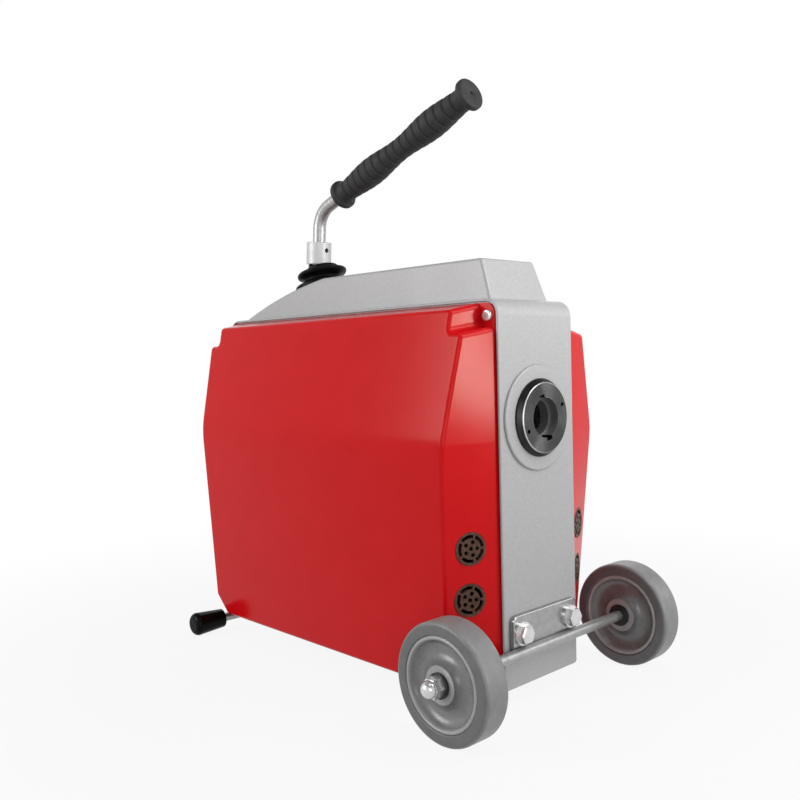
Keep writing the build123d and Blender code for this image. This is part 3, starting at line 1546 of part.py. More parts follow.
pieces = {
    "housing": housing.part,
    "left_cover": left_cover.part,
    "right_cover": right_cover_part,
    "left_vent_grilles": left_vents.part,
    "right_vent_grilles": right_vents_part,
    "cover_screws": cover_screws_part,
    "inlet_collar": inlet_collar.part,
    "outlet_collar": outlet_collar_part,
    "bearing_outer_rings": bearing_outer_rings,
    "bearing_inner_rings": bearing_inner_rings,
    "bearing_balls": bearing_balls.part,
    "spindle": spindle.part,
    "closing_sleeve": closing_sleeve_part,
    "shift_ring": shift_ring.part,
    "lever_fork": lever_fork.part,
    "lever_pivot_pin": lever_pivot_pin,
    "lever_spring": lever_spring,
    "lever_socket": lever_socket.part,
    "lever_set_screw": lever_set_screw,
    "lever_tube": lever_tube.part,
    "lever_grip": lever_grip.part,
    "boot": boot.part,
    "left_rim": wheel_rim(-1),
    "right_rim": wheel_rim(1),
    "left_tyre": wheel_tyre(-1),
    "right_tyre": wheel_tyre(1),
    "axle_bracket": axle_bracket.part,
    "bracket_bolts": bracket_bolts.part,
    "bracket_washers": bracket_washers.part,
    "axle": axle,
    "axle_washers": axle_washers.part,
    "axle_nuts": axle_nuts.part,
    "foot_bar": foot_bar,
    "foot_caps": foot_caps.part,
    "foot_clamps": foot_clamps.part,
    "foot_clamp_screws": foot_clamp_screws.part,
    "drive_belt": drive_belt,
    "driven_pulley": driven_pulley,
    "drive_pulley": drive_pulley,
    "motor_case": motor_case,
    "motor_front_shield": motor_front_shield,
    "motor_rear_shield": motor_rear_shield,
    "stator_core": stator_core,
    "rotor_core": rotor_core,
    "motor_shaft": motor_shaft,
    "motor_fan": motor_fan.part,
    "motor_mount": motor_mount.part,
    "motor_bolts": motor_bolts.part,
    "capacitor": capacitor,
    "capacitor_clip": capacitor_clip.part,
    "clip_screws": clip_screws.part,
    "switch_body": switch_body.part,
    "switch_knob": switch_knob.part,
    "cable_gland": cable_gland.part,
}
for index, jaw_part in enumerate(jaw_parts):
    pieces[f"jaw_{index + 1}"] = jaw_part

os.makedirs("parts", exist_ok=True)
for name, piece in pieces.items():
    piece.label = name
    export_step(piece, f"parts/{name}.step")
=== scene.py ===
"""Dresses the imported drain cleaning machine: materials, rubber boot and grip, stage, light and camera."""

import math

import bmesh
import bpy
from mathutils import Matrix, Vector


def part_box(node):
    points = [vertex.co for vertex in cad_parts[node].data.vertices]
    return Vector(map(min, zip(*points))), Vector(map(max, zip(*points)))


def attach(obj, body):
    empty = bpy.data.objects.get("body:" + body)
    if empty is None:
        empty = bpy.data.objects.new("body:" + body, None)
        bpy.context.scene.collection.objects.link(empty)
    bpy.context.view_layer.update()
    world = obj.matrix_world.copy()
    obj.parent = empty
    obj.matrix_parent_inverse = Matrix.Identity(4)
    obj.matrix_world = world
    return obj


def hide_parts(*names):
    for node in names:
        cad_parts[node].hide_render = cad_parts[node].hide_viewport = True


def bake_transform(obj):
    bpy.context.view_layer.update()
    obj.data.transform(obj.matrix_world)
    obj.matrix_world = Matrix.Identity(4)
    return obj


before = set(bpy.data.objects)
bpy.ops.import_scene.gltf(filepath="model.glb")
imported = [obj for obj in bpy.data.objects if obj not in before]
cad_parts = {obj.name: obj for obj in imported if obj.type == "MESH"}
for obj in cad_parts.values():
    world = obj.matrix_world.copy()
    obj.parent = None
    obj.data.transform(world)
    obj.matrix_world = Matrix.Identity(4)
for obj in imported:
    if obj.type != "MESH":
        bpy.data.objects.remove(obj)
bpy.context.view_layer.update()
MM = 0.001
WHITE = (1, 1, 1, 1)

# Places taken from the frame
pin_low, pin_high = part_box("lever_pivot_pin")
pivot = (pin_low + pin_high) / 2
collar_low, collar_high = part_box("inlet_collar")
spindle_point = (0, 0, (collar_low.z + collar_high.z) / 2)
axle_low, axle_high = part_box("axle")
axle_point = (axle_low + axle_high) / 2

# The directions square to the spindle and to the axle
across_spindle = (0, 1, 1)
across_axle = (1, 0, 1)

# Radii at which a finish or a painted highlight changes on the collars and the wheels
collar_bore_radius = 22.7 * MM
collar_bore_fade = 0.1 * MM
collar_face_radius = 38.7 * MM
collar_edge_radius = 39.1 * MM
collar_edge_half = 0.3 * MM
collar_edge_fade = 0.7 * MM
hub_face_radius = 20.0 * MM
rim_lip_start = 44.5 * MM
highlight_fade = 1.5 * MM
tread_start = 59.5 * MM
tread_end = 61.5 * MM

# How strongly the moulded pieces shine
black_gloss = 0.06
rubber_gloss = 0.18
plastic_gloss = 0.3
tyre_gloss = 0.5
rim_gloss = 0.6

# Shared by the rings of the boot and the grip
round_segments = 96
side_axis = Vector((0, 1, 0))

# The lever's lean and the boot's seat, as in the solids, and heights along the boot in millimetres
stem_lean = math.radians(5.0)
stem = Vector((math.sin(stem_lean), 0, math.cos(stem_lean)))
boot_seat = Vector((-147.04, 0, 487.47)) * MM
boot_tilt = math.radians(12.67)
boot_start = (boot_seat - pivot).dot(stem)

# The grip's axis and sizes in millimetres, as in the solids
# Its flare, grooves and crowns and its end hole's bevel are the scene's own
stem_to_bend = 134.5
bend_to_grip = 50.5
grip_slope = math.radians(18.7)
grip_axis = Vector((math.cos(grip_slope), 0, math.sin(grip_slope)))
grip_across = Vector((-math.sin(grip_slope), 0, math.cos(grip_slope)))
grip_start = pivot + stem * (stem_to_bend * MM) + grip_axis * (bend_to_grip * MM)
grip_length = 258.0
grip_bore = 9.05
grip_end_wall = 8.0
grip_hole_radius = 2.0
grip_hole_bevel_radius = 2.6
grip_hole_bevel_depth = 0.5
grip_neck = 14.2
grip_swell = 4.2
grip_flange = 19.8
grip_flange_length = 9.0
grip_flange_corner = 3.0
flange_corner_steps = 6
grip_flare_length = 7.0
grip_ribs = 18
grip_groove_depth = 2.0
grip_groove_half = 1.3
grip_groove_shares = (0.45, 0.85, 1.3)
grip_rib_crown = 0.5

# The floor and the sky
floor_half = 12.0
floor_grey = (0.5, 0.5, 0.5, 1)
floor_roughness = 0.9
floor_near, floor_far = 0.35, 1.1
floor_near_share = 0.9
sky_white_height, sky_grey_height = 0.42, 0.85
sky_grey = 0.30
sky_light = 0.32

# The photograph's camera
camera_place = (0.8418, -0.7808, 0.3837)
camera_yaw = math.radians(46.82)
camera_pitch = math.radians(-2.59)
camera_roll = math.radians(-1.53)
camera_sensor = 36.0
camera_lens = 39.43


# Mesh helpers
def add_mesh(name, points, faces):
    """A smooth-shaded mesh object from points and faces, with its normals outwards."""
    mesh = bpy.data.meshes.new(name)
    mesh.from_pydata([tuple(p) for p in points], [], faces)
    work = bmesh.new()
    work.from_mesh(mesh)
    bmesh.ops.recalc_face_normals(work, faces=work.faces)
    work.to_mesh(mesh)
    work.free()
    for polygon in mesh.polygons:
        polygon.use_smooth = True
    piece = bpy.data.objects.new(name, mesh)
    bpy.context.scene.collection.objects.link(piece)
    return piece


def ring_skin(name, rings, segments):
    """A closed skin over a loop of rings; each ring is (centre, across, side, radius)."""
    points = []
    for centre, across, side, radius in rings:
        for step in range(segments):
            angle = 2 * math.pi * step / segments
            points.append(centre + radius * (math.cos(angle) * across + math.sin(angle) * side))
    faces = []
    for ring in range(len(rings)):
        following = (ring + 1) % len(rings)
        for step in range(segments):
            beside = (step + 1) % segments
            faces.append((
                ring * segments + step,
                ring * segments + beside,
                following * segments + beside,
                following * segments + step,
            ))
    return add_mesh(name, points, faces)


# Node helpers
def add_node(tree, kind, inputs, **settings):
    """A new node with its settings made, and its inputs linked to a socket or set to a value."""
    node = tree.nodes.new(kind)
    for name, value in settings.items():
        setattr(node, name, value)
    for socket, value in inputs.items():
        if isinstance(value, bpy.types.NodeSocket):
            tree.links.new(value, node.inputs[socket])
        else:
            node.inputs[socket].default_value = value
    return node


def colour_input(shade):
    """A socket as it is; a grey number, or a red, green and blue, as an opaque colour."""
    if isinstance(shade, bpy.types.NodeSocket):
        return shade
    if isinstance(shade, float):
        return (shade, shade, shade, 1)
    return (*shade, 1)


# A mix node's colour sockets by number, because its other data types use the same names
MIX_SHARE, MIX_FIRST, MIX_SECOND, MIX_COLOUR = 0, 6, 7, 2


class Surface:
    """A procedural material, built up one pattern at a time in object coordinates."""

    def __init__(self, name, **constants):
        self.material = bpy.data.materials.new(name)
        self.material.use_nodes = True
        self.tree = self.material.node_tree
        self.shader = self.tree.nodes["Principled BSDF"]
        for socket, value in constants.items():
            self.shader.inputs[socket.replace("_", " ")].default_value = value
        self.place = self.add("ShaderNodeTexCoord", {}).outputs["Object"]

    def add(self, kind, inputs, **settings):
        return add_node(self.tree, kind, inputs, **settings)

    def feed(self, socket, source):
        """Links a source to one of the shader's inputs."""
        self.tree.links.new(source, self.shader.inputs[socket])

    def noise(self, size, detail=2.0, stretch=(1, 1, 1)):
        """Noise whose features are about size millimetres across, stretched along an axis."""
        scaled = self.add(
            "ShaderNodeMapping", {"Vector": self.place, "Scale": [1 / s for s in stretch]}
        )
        node = self.add(
            "ShaderNodeTexNoise",
            {"Vector": scaled.outputs["Vector"], "Scale": 1 / (size * MM), "Detail": detail},
        )
        return node.outputs["Fac"]

    def flakes(self, size):
        """A random value for each cell about size millimetres across."""
        node = self.add("ShaderNodeTexVoronoi", {"Vector": self.place, "Scale": 1 / (size * MM)})
        parts = self.add("ShaderNodeSeparateColor", {"Color": node.outputs["Color"]})
        return parts.outputs["Red"]

    def axis_distance(self, axis_point, across):
        """Distance from an axis through a point; across marks the two directions square to it."""
        moved = self.add(
            "ShaderNodeVectorMath", {0: self.place, 1: axis_point}, operation="SUBTRACT"
        )
        flat = self.add(
            "ShaderNodeVectorMath", {0: moved.outputs[0], 1: across}, operation="MULTIPLY"
        )
        reach = self.add("ShaderNodeVectorMath", {0: flat.outputs[0]}, operation="LENGTH")
        return reach.outputs["Value"]

    def turned(self, size, axis_point):
        """Fine rings about an axis along X, as a lathe leaves them."""
        radius = self.axis_distance(axis_point, across_spindle)
        node = self.add(
            "ShaderNodeTexNoise",
            {"W": radius, "Scale": 1 / (size * MM), "Detail": 3.0},
            noise_dimensions="1D",
        )
        return node.outputs["Fac"]

    def between(self, pattern, low, high, start=0.3, end=0.7):
        """A pattern that runs from start to end, made to run from low to high."""
        node = self.add(
            "ShaderNodeMapRange",
            {"Value": pattern, "From Min": start, "From Max": end, "To Min": low, "To Max": high},
        )
        return node.outputs["Result"]

    def mix(self, share, first, second):
        """A share of the second colour in the first."""
        inputs = {
            MIX_SHARE: share,
            MIX_FIRST: colour_input(first),
            MIX_SECOND: colour_input(second),
        }
        return self.add("ShaderNodeMix", inputs, data_type="RGBA").outputs[MIX_COLOUR]

    def clouded(self, pattern, dark, light):
        """A colour that goes from dark to light with a pattern."""
        return self.mix(self.between(pattern, 0, 1), dark, light)

    def colour(self, pattern, dark, light):
        self.feed("Base Color", self.clouded(pattern, dark, light))

    def roughness(self, pattern, low, high):
        self.feed("Roughness", self.between(pattern, low, high))

    def bump(self, *layers):
        """Stacks bump layers of (pattern, height in millimetres)."""
        normal = None
        for pattern, height in layers:
            inputs = {"Height": pattern, "Distance": height * MM, "Strength": 1.0}
            if normal:
                inputs["Normal"] = normal
            normal = self.add("ShaderNodeBump", inputs).outputs["Normal"]
        self.feed("Normal", normal)


# Materials
materials = {}


def surface(slot, **constants):
    """A new surface, kept under its slot's name."""
    made = Surface("finish_" + slot, **constants)
    materials[slot] = made.material
    return made


def silver_paint():
    paint = surface("silver_paint", Specular_IOR_Level=0.9)
    paint.colour(paint.flakes(size=0.5), dark=(0.265, 0.266, 0.268), light=(0.347, 0.347, 0.347))
    paint.roughness(paint.noise(size=60, detail=3), low=0.40, high=0.50)
    paint.bump((paint.noise(size=3.0), 0.02), (paint.noise(size=0.7), 0.005))


def red_cover():
    plastic = surface("red_cover", Specular_IOR_Level=0.12, Specular_Tint=(0.85, 1.0, 0.85, 1))
    cloud = plastic.noise(size=40, detail=3)
    grain = plastic.noise(size=1.6, detail=3)
    plastic.colour(cloud, dark=(0.508, 0.003, 0.006), light=(0.532, 0.004, 0.008))
    plastic.roughness(grain, low=0.15, high=0.21)
    plastic.bump((grain, 0.012), (plastic.noise(size=0.5), 0.003))


def vent_bronze():
    vent = surface("vent_bronze", Specular_IOR_Level=0.15)
    cloud = vent.noise(size=4, detail=4)
    vent.colour(cloud, dark=(0.045, 0.022, 0.014), light=(0.095, 0.050, 0.034))
    vent.roughness(vent.noise(size=2), low=0.35, high=0.55)
    vent.bump((vent.noise(size=0.8), 0.03))


def black_steel():
    """Blackened steel: machined on the collars' faces, dark grey in their bores, with a painted highlight
    along their faces' edges.
    """
    metal = surface("black_steel", Metallic=1.0, Anisotropic=0.95)
    tangent = metal.add("ShaderNodeTangent", {}, direction_type="RADIAL", axis="X")
    metal.feed("Tangent", tangent.outputs["Tangent"])
    rings = metal.turned(0.6, spindle_point)
    radius = metal.axis_distance(spindle_point, across_spindle)
    cloud = metal.noise(size=12, detail=4)
    black = metal.clouded(cloud, dark=(0.018, 0.018, 0.019), light=(0.040, 0.040, 0.042))
    machined = metal.clouded(cloud, dark=(0.055, 0.055, 0.057), light=(0.085, 0.085, 0.087))
    face = metal.between(radius, 1, 0, collar_face_radius, collar_edge_radius)
    bore = metal.between(radius, 1, 0, collar_bore_radius - collar_bore_fade, collar_bore_radius)
    # Painted highlight: a thin bright grey ring along each collar face's edge
    from_edge = metal.add("ShaderNodeMath", {0: radius, 1: collar_edge_radius}, operation="SUBTRACT")
    apart = metal.add("ShaderNodeMath", {0: from_edge.outputs[0]}, operation="ABSOLUTE")
    edge_highlight_mask = metal.between(apart.outputs[0], 1, 0, collar_edge_half, collar_edge_fade)
    faced = metal.mix(face, black, machined)
    bored = metal.mix(bore, faced, 0.22)
    metal.feed("Base Color", metal.mix(edge_highlight_mask, bored, 0.48))
    metal.feed("Metallic", metal.between(bore, low=1.0, high=0.6, start=0, end=1))
    metal.roughness(rings, low=0.22, high=0.34)
    metal.bump((rings, 0.012), (metal.noise(size=1.2), 0.004))


def tyre_grey():
    """Grey rubber, with the tread painted lighter than its sides as a painted highlight."""
    rubber = surface("tyre_grey", Specular_IOR_Level=tyre_gloss)
    radius = rubber.axis_distance(axle_point, across_axle)
    cloud = rubber.noise(size=12, detail=4)
    side = rubber.clouded(cloud, dark=0.098, light=0.122)
    tread = rubber.clouded(cloud, dark=0.160, light=0.200)
    # Painted highlight: the tread is lighter than the sides
    tread_highlight_mask = rubber.between(radius, 0, 1, tread_start, tread_end)
    rubber.feed("Base Color", rubber.mix(tread_highlight_mask, side, tread))
    rubber.roughness(rubber.noise(size=2.7, detail=3), low=0.34, high=0.46)
    rubber.bump((rubber.noise(size=0.9, detail=3), 0.015), (rubber.noise(size=0.225), 0.004))


def rim_grey():
    """Grey paint, with the rim's lip and the hub's face painted lighter as a painted highlight, and the
    dish between them painted darker as shade.
    """
    paint = surface("rim_grey", Specular_IOR_Level=rim_gloss)
    radius = paint.axis_distance(axle_point, across_axle)
    cloud = paint.noise(size=12, detail=4)
    dish = paint.clouded(cloud, dark=0.135, light=0.170)
    # Painted highlight on the lip and the hub's face, against painted shade in the dish
    highlight_grey = paint.clouded(cloud, dark=0.270, light=0.310)
    lip = paint.between(radius, 0, 1, rim_lip_start - highlight_fade, rim_lip_start)
    hub = paint.between(radius, 1, 0, hub_face_radius - highlight_fade, hub_face_radius)
    highlight_mask = paint.add("ShaderNodeMath", {0: lip, 1: hub}, operation="MAXIMUM")
    paint.feed("Base Color", paint.mix(highlight_mask.outputs[0], dish, highlight_grey))
    paint.roughness(paint.noise(size=4.5, detail=3), low=0.26, high=0.34)
    paint.bump((paint.noise(size=1.5, detail=3), 0.008), (paint.noise(size=0.375), 0.002))


def core_steel():
    core = surface("core_steel", Metallic=1.0)
    sheets = core.noise(size=400, detail=0, stretch=(0.00125, 1, 1))
    core.colour(sheets, dark=(0.18, 0.17, 0.16), light=(0.34, 0.33, 0.32))
    core.roughness(core.noise(size=3), low=0.4, high=0.6)
    core.bump((sheets, 0.12))


def turned_metal(slot, dark, light, smooth, rough, ring_size):
    """Bare metal with a lathe's rings about the spindle, a ring size in millimetres apart."""
    metal = surface(slot, Metallic=1.0)
    rings = metal.turned(ring_size, spindle_point)
    metal.colour(metal.noise(size=15, detail=4), dark, light)
    metal.roughness(rings, smooth, rough)
    metal.bump((rings, 0.02), (metal.noise(size=1.2), 0.006))


def plain_metal(slot, dark, light, smooth, rough, grain, height, metallic=1.0):
    """Cast or plated metal; the size and the height of its grain are in millimetres."""
    metal = surface(slot, Metallic=metallic)
    metal.colour(metal.noise(size=9, detail=4), dark, light)
    metal.roughness(metal.noise(size=5, detail=4), smooth, rough)
    metal.bump((metal.noise(grain, detail=3), height))


def moulded(slot, dark, light, smooth, rough, grain, height, gloss):
    """Rubber or plastic; the size and the height of its grain are in millimetres."""
    plastic = surface(slot, Specular_IOR_Level=gloss)
    plastic.colour(plastic.noise(size=12, detail=4), dark, light)
    plastic.roughness(plastic.noise(grain * 3, detail=3), smooth, rough)
    plastic.bump((plastic.noise(grain, detail=3), height), (plastic.noise(grain / 4), height / 4))


silver_paint()
red_cover()
vent_bronze()
black_steel()
tyre_grey()
rim_grey()
core_steel()

# Turned metals
turned_metal(
    "steel", dark=(0.42, 0.42, 0.42), light=(0.55, 0.55, 0.54), smooth=0.22, rough=0.38, ring_size=0.7
)
turned_metal(
    "bearing_steel",
    dark=(0.55, 0.55, 0.56), light=(0.66, 0.66, 0.66), smooth=0.12, rough=0.2, ring_size=0.5,
)
turned_metal(
    "pulley_aluminium",
    dark=(0.60, 0.60, 0.61), light=(0.70, 0.70, 0.71), smooth=0.25, rough=0.4, ring_size=0.8,
)

# Cast and plated metals
plain_metal(
    "motor_aluminium",
    dark=(0.45, 0.45, 0.46), light=(0.56, 0.56, 0.57), smooth=0.45, rough=0.62, grain=1.2, height=0.08,
)
plain_metal(
    "bright_zinc",
    dark=(0.33, 0.33, 0.33), light=(0.40, 0.40, 0.395), smooth=0.18, rough=0.26, grain=6.0, height=0.006,
)
plain_metal(
    "polished_zinc",
    dark=(0.58, 0.58, 0.58), light=(0.66, 0.66, 0.655), smooth=0.10, rough=0.16, grain=3.0, height=0.006,
    metallic=0.7,
)
plain_metal(
    "bar_zinc",
    dark=(0.29, 0.29, 0.29), light=(0.36, 0.36, 0.355), smooth=0.32, rough=0.42, grain=4.0, height=0.008,
    metallic=0.7,
)
plain_metal(
    "satin_zinc",
    dark=(0.46, 0.46, 0.46), light=(0.52, 0.52, 0.515), smooth=0.46, rough=0.54, grain=1.0, height=0.010,
    metallic=0.35,
)

# Rubbers and plastics
moulded(
    "black_rubber",
    dark=0.003, light=0.006, smooth=0.30, rough=0.42, grain=0.8, height=0.015, gloss=black_gloss,
)
moulded(
    "grip_rubber",
    dark=0.024, light=0.036, smooth=0.55, rough=0.70, grain=0.6, height=0.03, gloss=rubber_gloss,
)
moulded(
    "cap_black",
    dark=0.002, light=0.005, smooth=0.16, rough=0.24, grain=2.0, height=0.008, gloss=black_gloss,
)
moulded(
    "black_plastic",
    dark=0.010, light=0.018, smooth=0.35, rough=0.48, grain=0.7, height=0.02, gloss=plastic_gloss,
)
moulded(
    "knob_red",
    dark=(0.46, 0.008, 0.010), light=(0.54, 0.010, 0.013),
    smooth=0.25, rough=0.34, grain=0.9, height=0.015, gloss=plastic_gloss,
)
moulded(
    "capacitor_grey",
    dark=0.24, light=0.30, smooth=0.3, rough=0.45, grain=1.5, height=0.01, gloss=plastic_gloss,
)

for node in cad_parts.values():
    for holder in node.material_slots:
        holder.material = materials[holder.material.name.split(".")[0]]

# The outside screws, bolts and nuts are brighter than the plates, and the bars are duller
zinc_finishes = {
    "polished_zinc": ("cover_screws", "bracket_bolts", "bracket_washers", "axle_nuts"),
    "bar_zinc": ("axle", "foot_bar", "lever_tube"),
}
for finish, names in zinc_finishes.items():
    for name in names:
        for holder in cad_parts[name].material_slots:
            holder.material = materials[finish]


# Rubber boot: flat folds parallel to the ramp, then a neck that turns to the stem
# Points of (rise, radius, share): share 0 sits on the boot's own axis, 1 on the stem's
boot_outside = [
    (0.0, 37.0, 0), (0.6, 37.5, 0), (3.6, 37.6, 0), (5.6, 37.3, 0), (7.0, 36.2, 0), (7.8, 34.0, 0),
    (8.6, 30.6, 0), (10.0, 27.6, 0), (12.0, 26.0, 0), (14.4, 26.0, 0), (16.4, 27.6, 0), (17.4, 30.4, 0),
    (18.2, 33.0, 0), (19.4, 34.4, 0), (21.0, 35.0, 0), (23.0, 35.0, 0), (24.4, 34.3, 0), (25.2, 32.6, 0),
    (25.4, 30.0, 0), (25.4, 26.4, 0), (25.8, 23.6, 0), (26.8, 22.5, 0), (28.6, 22.6, 0), (30.2, 22.3, 0),
    (31.4, 21.4, 0), (31.9, 20.2, 0), (32.1, 18.8, 0.15), (32.6, 17.0, 0.5), (33.4, 15.2, 0.85),
    (34.4, 14.4, 1),
]
boot_inside = [
    (34.9, 13.6, 1), (34.8, 12.4, 1), (33.0, 12.4, 1), (30.6, 14.0, 0.5), (29.6, 18.4, 0), (26.4, 20.4, 0),
    (23.4, 25.0, 0), (21.6, 31.6, 0), (18.8, 28.6, 0), (14.0, 23.6, 0), (9.6, 25.4, 0), (5.0, 32.0, 0),
    (0.0, 33.4, 0),
]


def boot_ring(rise, radius, neck):
    """A ring of the boot, parallel to its seat low down and square to the stem at the neck."""
    turn = -boot_tilt + neck * (boot_tilt + stem_lean)
    across = Vector((math.cos(turn), 0, -math.sin(turn)))
    on_boot = boot_seat + stem * (rise * MM)
    on_stem = pivot + stem * (boot_start + rise * MM)
    return on_boot.lerp(on_stem, neck), across, side_axis, radius * MM


boot_rings = [boot_ring(*point) for point in boot_outside + boot_inside]
boot = ring_skin("rubber_boot", boot_rings, round_segments)
smoothing = boot.modifiers.new("smooth", "SUBSURF")
smoothing.levels = 1
smoothing.render_levels = 1
boot.data.materials.append(materials["black_rubber"])
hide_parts("boot")
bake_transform(boot)


# Rubber grip: two swells with flat ribs and narrow grooves between end flanges
def grip_radius(distance):
    """Radius over the ribs at a distance along the grip."""
    share = (distance - grip_flange_length) / (grip_length - 2 * grip_flange_length)
    return grip_neck + grip_swell * math.sin(2 * math.pi * share) ** 2


def flange_profile(start):
    """Points of a rounded flange on the grip that starts at a distance along it."""
    corner = grip_flange_corner
    end = start + grip_flange_length
    angles = [math.pi / 2 * step / flange_corner_steps for step in range(flange_corner_steps + 1)]
    rising = [
        (start + corner * (1 - math.cos(angle)), grip_flange - corner * (1 - math.sin(angle)))
        for angle in angles
    ]
    falling = [
        (end - corner * (1 - math.sin(angle)), grip_flange - corner * (1 - math.cos(angle)))
        for angle in angles
    ]
    return rising + falling


def flare_radius(distance):
    """Radius of the hollow curve that runs from each flange into the ribs, and 0 past its end."""
    flange_edge = grip_flange - grip_flange_corner
    to_end = min(distance, grip_length - distance)
    share = max(0.0, 1 - (to_end - grip_flange_length) / grip_flare_length)
    return grip_neck + (flange_edge - grip_neck) * share**2 if share else 0.0


def rib_profile():
    """Points over the ribs: a groove at each end of a rib and a slight crown between."""
    pitch = (grip_length - 2 * grip_flange_length) / grip_ribs
    half = pitch / 2
    offsets = [-half]
    offsets += [-half + share * grip_groove_half for share in grip_groove_shares]
    offsets += [-half / 2, 0.0]
    offsets += [-offset for offset in reversed(offsets[1:-1])]
    points = []
    for rib in range(grip_ribs):
        middle = grip_flange_length + (rib + 0.5) * pitch
        for offset in offsets:
            from_groove = (half - abs(offset)) / grip_groove_half
            groove = grip_groove_depth * max(0.0, 1 - from_groove**2) ** 0.5
            crown = grip_rib_crown * (offset / half) ** 2
            ribbed = grip_radius(middle + offset) - max(groove, crown)
            points.append((middle + offset, max(ribbed, flare_radius(middle + offset))))
    return points


grip_profile = [(0.0, grip_bore)]
grip_profile += flange_profile(0.0)
grip_profile += rib_profile()
grip_profile += flange_profile(grip_length - grip_flange_length)
grip_profile += [
    (grip_length, grip_hole_bevel_radius),
    (grip_length - grip_hole_bevel_depth, grip_hole_radius),
    (grip_length - grip_end_wall, grip_hole_radius),
    (grip_length - grip_end_wall, grip_bore),
]
grip_rings = [
    (grip_start + grip_axis * (distance * MM), grip_across, side_axis, radius * MM)
    for distance, radius in grip_profile
]
grip = ring_skin("rubber_grip", grip_rings, round_segments)
grip.data.materials.append(materials["grip_rubber"])
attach(grip, "lever")
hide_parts("lever_grip")


# Stage: a pale floor that fades to white, and a white surround
def seen_share(tree):
    """1 for rays from the camera, a reflection or a clear surface, and 0 for the others."""
    path = add_node(tree, "ShaderNodeLightPath", {})
    total = path.outputs["Is Camera Ray"]
    for name in ("Is Glossy Ray", "Is Transmission Ray"):
        larger = add_node(tree, "ShaderNodeMath", {0: total, 1: path.outputs[name]}, operation="MAXIMUM")
        total = larger.outputs[0]
    return total


def eased(tree, value, start, end, low, high):
    """A value from start to end, made to run smoothly from low to high."""
    inputs = {"Value": value, "From Min": start, "From Max": end, "To Min": low, "To Max": high}
    node = add_node(tree, "ShaderNodeMapRange", inputs, interpolation_type="SMOOTHSTEP")
    return node.outputs["Result"]


def floor_white():
    """A grey floor that takes shadows, and is seen as white further out."""
    material = bpy.data.materials.new("floor_white")
    material.use_nodes = True
    tree = material.node_tree
    shader = tree.nodes["Principled BSDF"]
    shader.inputs["Base Color"].default_value = floor_grey
    shader.inputs["Roughness"].default_value = floor_roughness
    shader.inputs["Specular IOR Level"].default_value = 0.0
    glow = add_node(tree, "ShaderNodeEmission", {"Color": WHITE})
    place = add_node(tree, "ShaderNodeTexCoord", {}).outputs["Object"]
    reach = add_node(tree, "ShaderNodeVectorMath", {0: place}, operation="LENGTH").outputs["Value"]
    fade = eased(tree, reach, floor_near, floor_far, floor_near_share, 1.0)
    share = add_node(tree, "ShaderNodeMath", {0: seen_share(tree), 1: fade}, operation="MULTIPLY")
    mixed = add_node(
        tree, "ShaderNodeMixShader", {0: share.outputs[0], 1: shader.outputs[0], 2: glow.outputs[0]}
    )
    tree.links.new(mixed.outputs[0], tree.nodes["Material Output"].inputs["Surface"])
    return material


def studio_sky():
    """A sky seen as white round the horizon and greyer overhead, and dimmer as light."""
    world = bpy.data.worlds.new("studio")
    world.use_nodes = True
    tree = world.node_tree
    lit_sky = tree.nodes["Background"]
    lit_sky.inputs["Color"].default_value = WHITE
    lit_sky.inputs["Strength"].default_value = sky_light
    heading = add_node(tree, "ShaderNodeTexCoord", {}).outputs["Generated"]
    height = add_node(tree, "ShaderNodeSeparateXYZ", {0: heading}).outputs["Z"]
    grade = eased(tree, height, sky_white_height, sky_grey_height, 1.0, sky_grey)
    seen_sky = add_node(tree, "ShaderNodeBackground", {"Color": WHITE, "Strength": grade})
    mixed = add_node(
        tree, "ShaderNodeMixShader", {0: seen_share(tree), 1: lit_sky.outputs[0], 2: seen_sky.outputs[0]}
    )
    tree.links.new(mixed.outputs[0], tree.nodes["World Output"].inputs["Surface"])
    return world


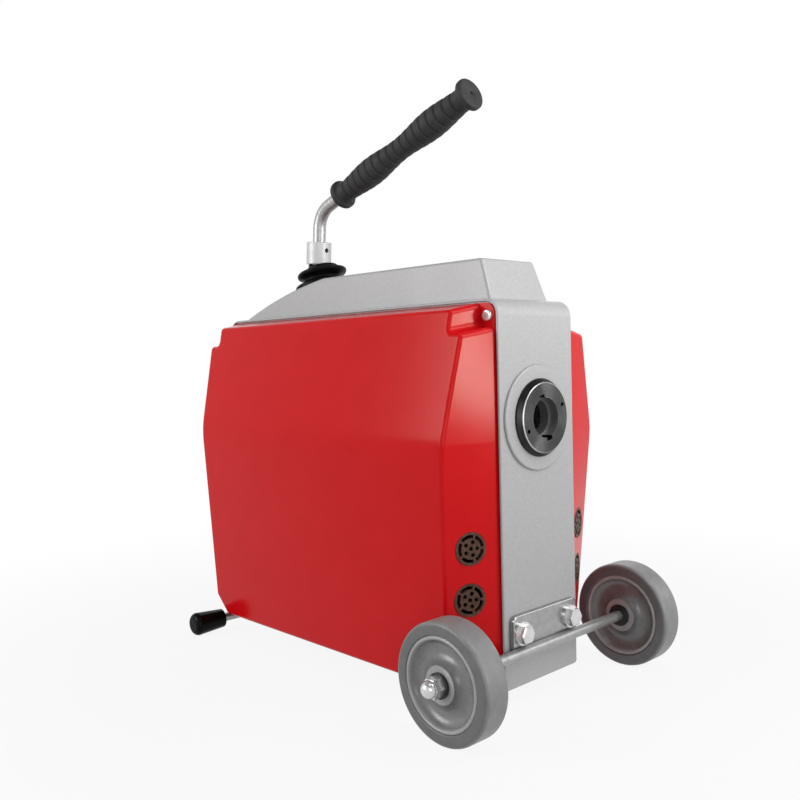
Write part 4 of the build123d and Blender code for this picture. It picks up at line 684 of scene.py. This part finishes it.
floor_corners = [(x * floor_half, y * floor_half, 0) for x, y in ((-1, -1), (1, -1), (1, 1), (-1, 1))]
floor = add_mesh("floor", floor_corners, [(0, 1, 2, 3)])
floor.data.materials.append(floor_white())
bpy.context.scene.world = studio_sky()


# Lamps
def lamp(name, place, width, height, power, aim=(0, 0, 0.3)):
    """A soft rectangular lamp at a place, turned towards a point or else the machine's middle."""
    light = bpy.data.lights.new(name, "AREA")
    light.shape = "RECTANGLE"
    light.size = width
    light.size_y = height
    light.energy = power
    holder = bpy.data.objects.new(name, light)
    holder.location = place
    holder.visible_camera = False
    heading = Vector(aim) - Vector(place)
    holder.rotation_euler = heading.to_track_quat("-Z", "Y").to_euler()
    bpy.context.scene.collection.objects.link(holder)


lamp("key_lamp", place=(0.64, 0.16, 0.80), width=0.4, height=0.4, power=2.9, aim=(0.1, 0, 0.4))
lamp("front_lamp", place=(1.64, 0.48, 0.43), width=0.22, height=0.44, power=8.8)
lamp("side_lamp", place=(0.95, 1.15, 0.70), width=0.5, height=0.4, power=2)
lamp("near_lamp", place=(1.2, -0.9, 0.45), width=0.5, height=0.5, power=3.2)
lamp("fill_lamp", place=(-1.0, -2.1, 1.1), width=1.3, height=1.2, power=37)
lamp("top_lamp", place=(0.5, -0.35, 1.5), width=0.5, height=0.5, power=1.5)
lamp("back_lamp", place=(-1.2, 1.6, 1.6), width=1.4, height=1.4, power=9)

# Camera
forward = Vector((
    -math.sin(camera_yaw) * math.cos(camera_pitch),
    math.cos(camera_yaw) * math.cos(camera_pitch),
    math.sin(camera_pitch),
))
level_right = Vector((math.cos(camera_yaw), math.sin(camera_yaw), 0))
level_up = level_right.cross(forward)
right = math.cos(camera_roll) * level_right + math.sin(camera_roll) * level_up
up = -math.sin(camera_roll) * level_right + math.cos(camera_roll) * level_up
lens = bpy.data.cameras.new("camera")
lens.sensor_width = camera_sensor
lens.lens = camera_lens
camera = bpy.data.objects.new("camera", lens)
facing = Matrix((right, up, -forward)).transposed().to_4x4()
camera.matrix_world = Matrix.Translation(camera_place) @ facing
bpy.context.scene.collection.objects.link(camera)
bpy.context.scene.camera = camera
bpy.context.scene.view_settings.view_transform = "Standard"
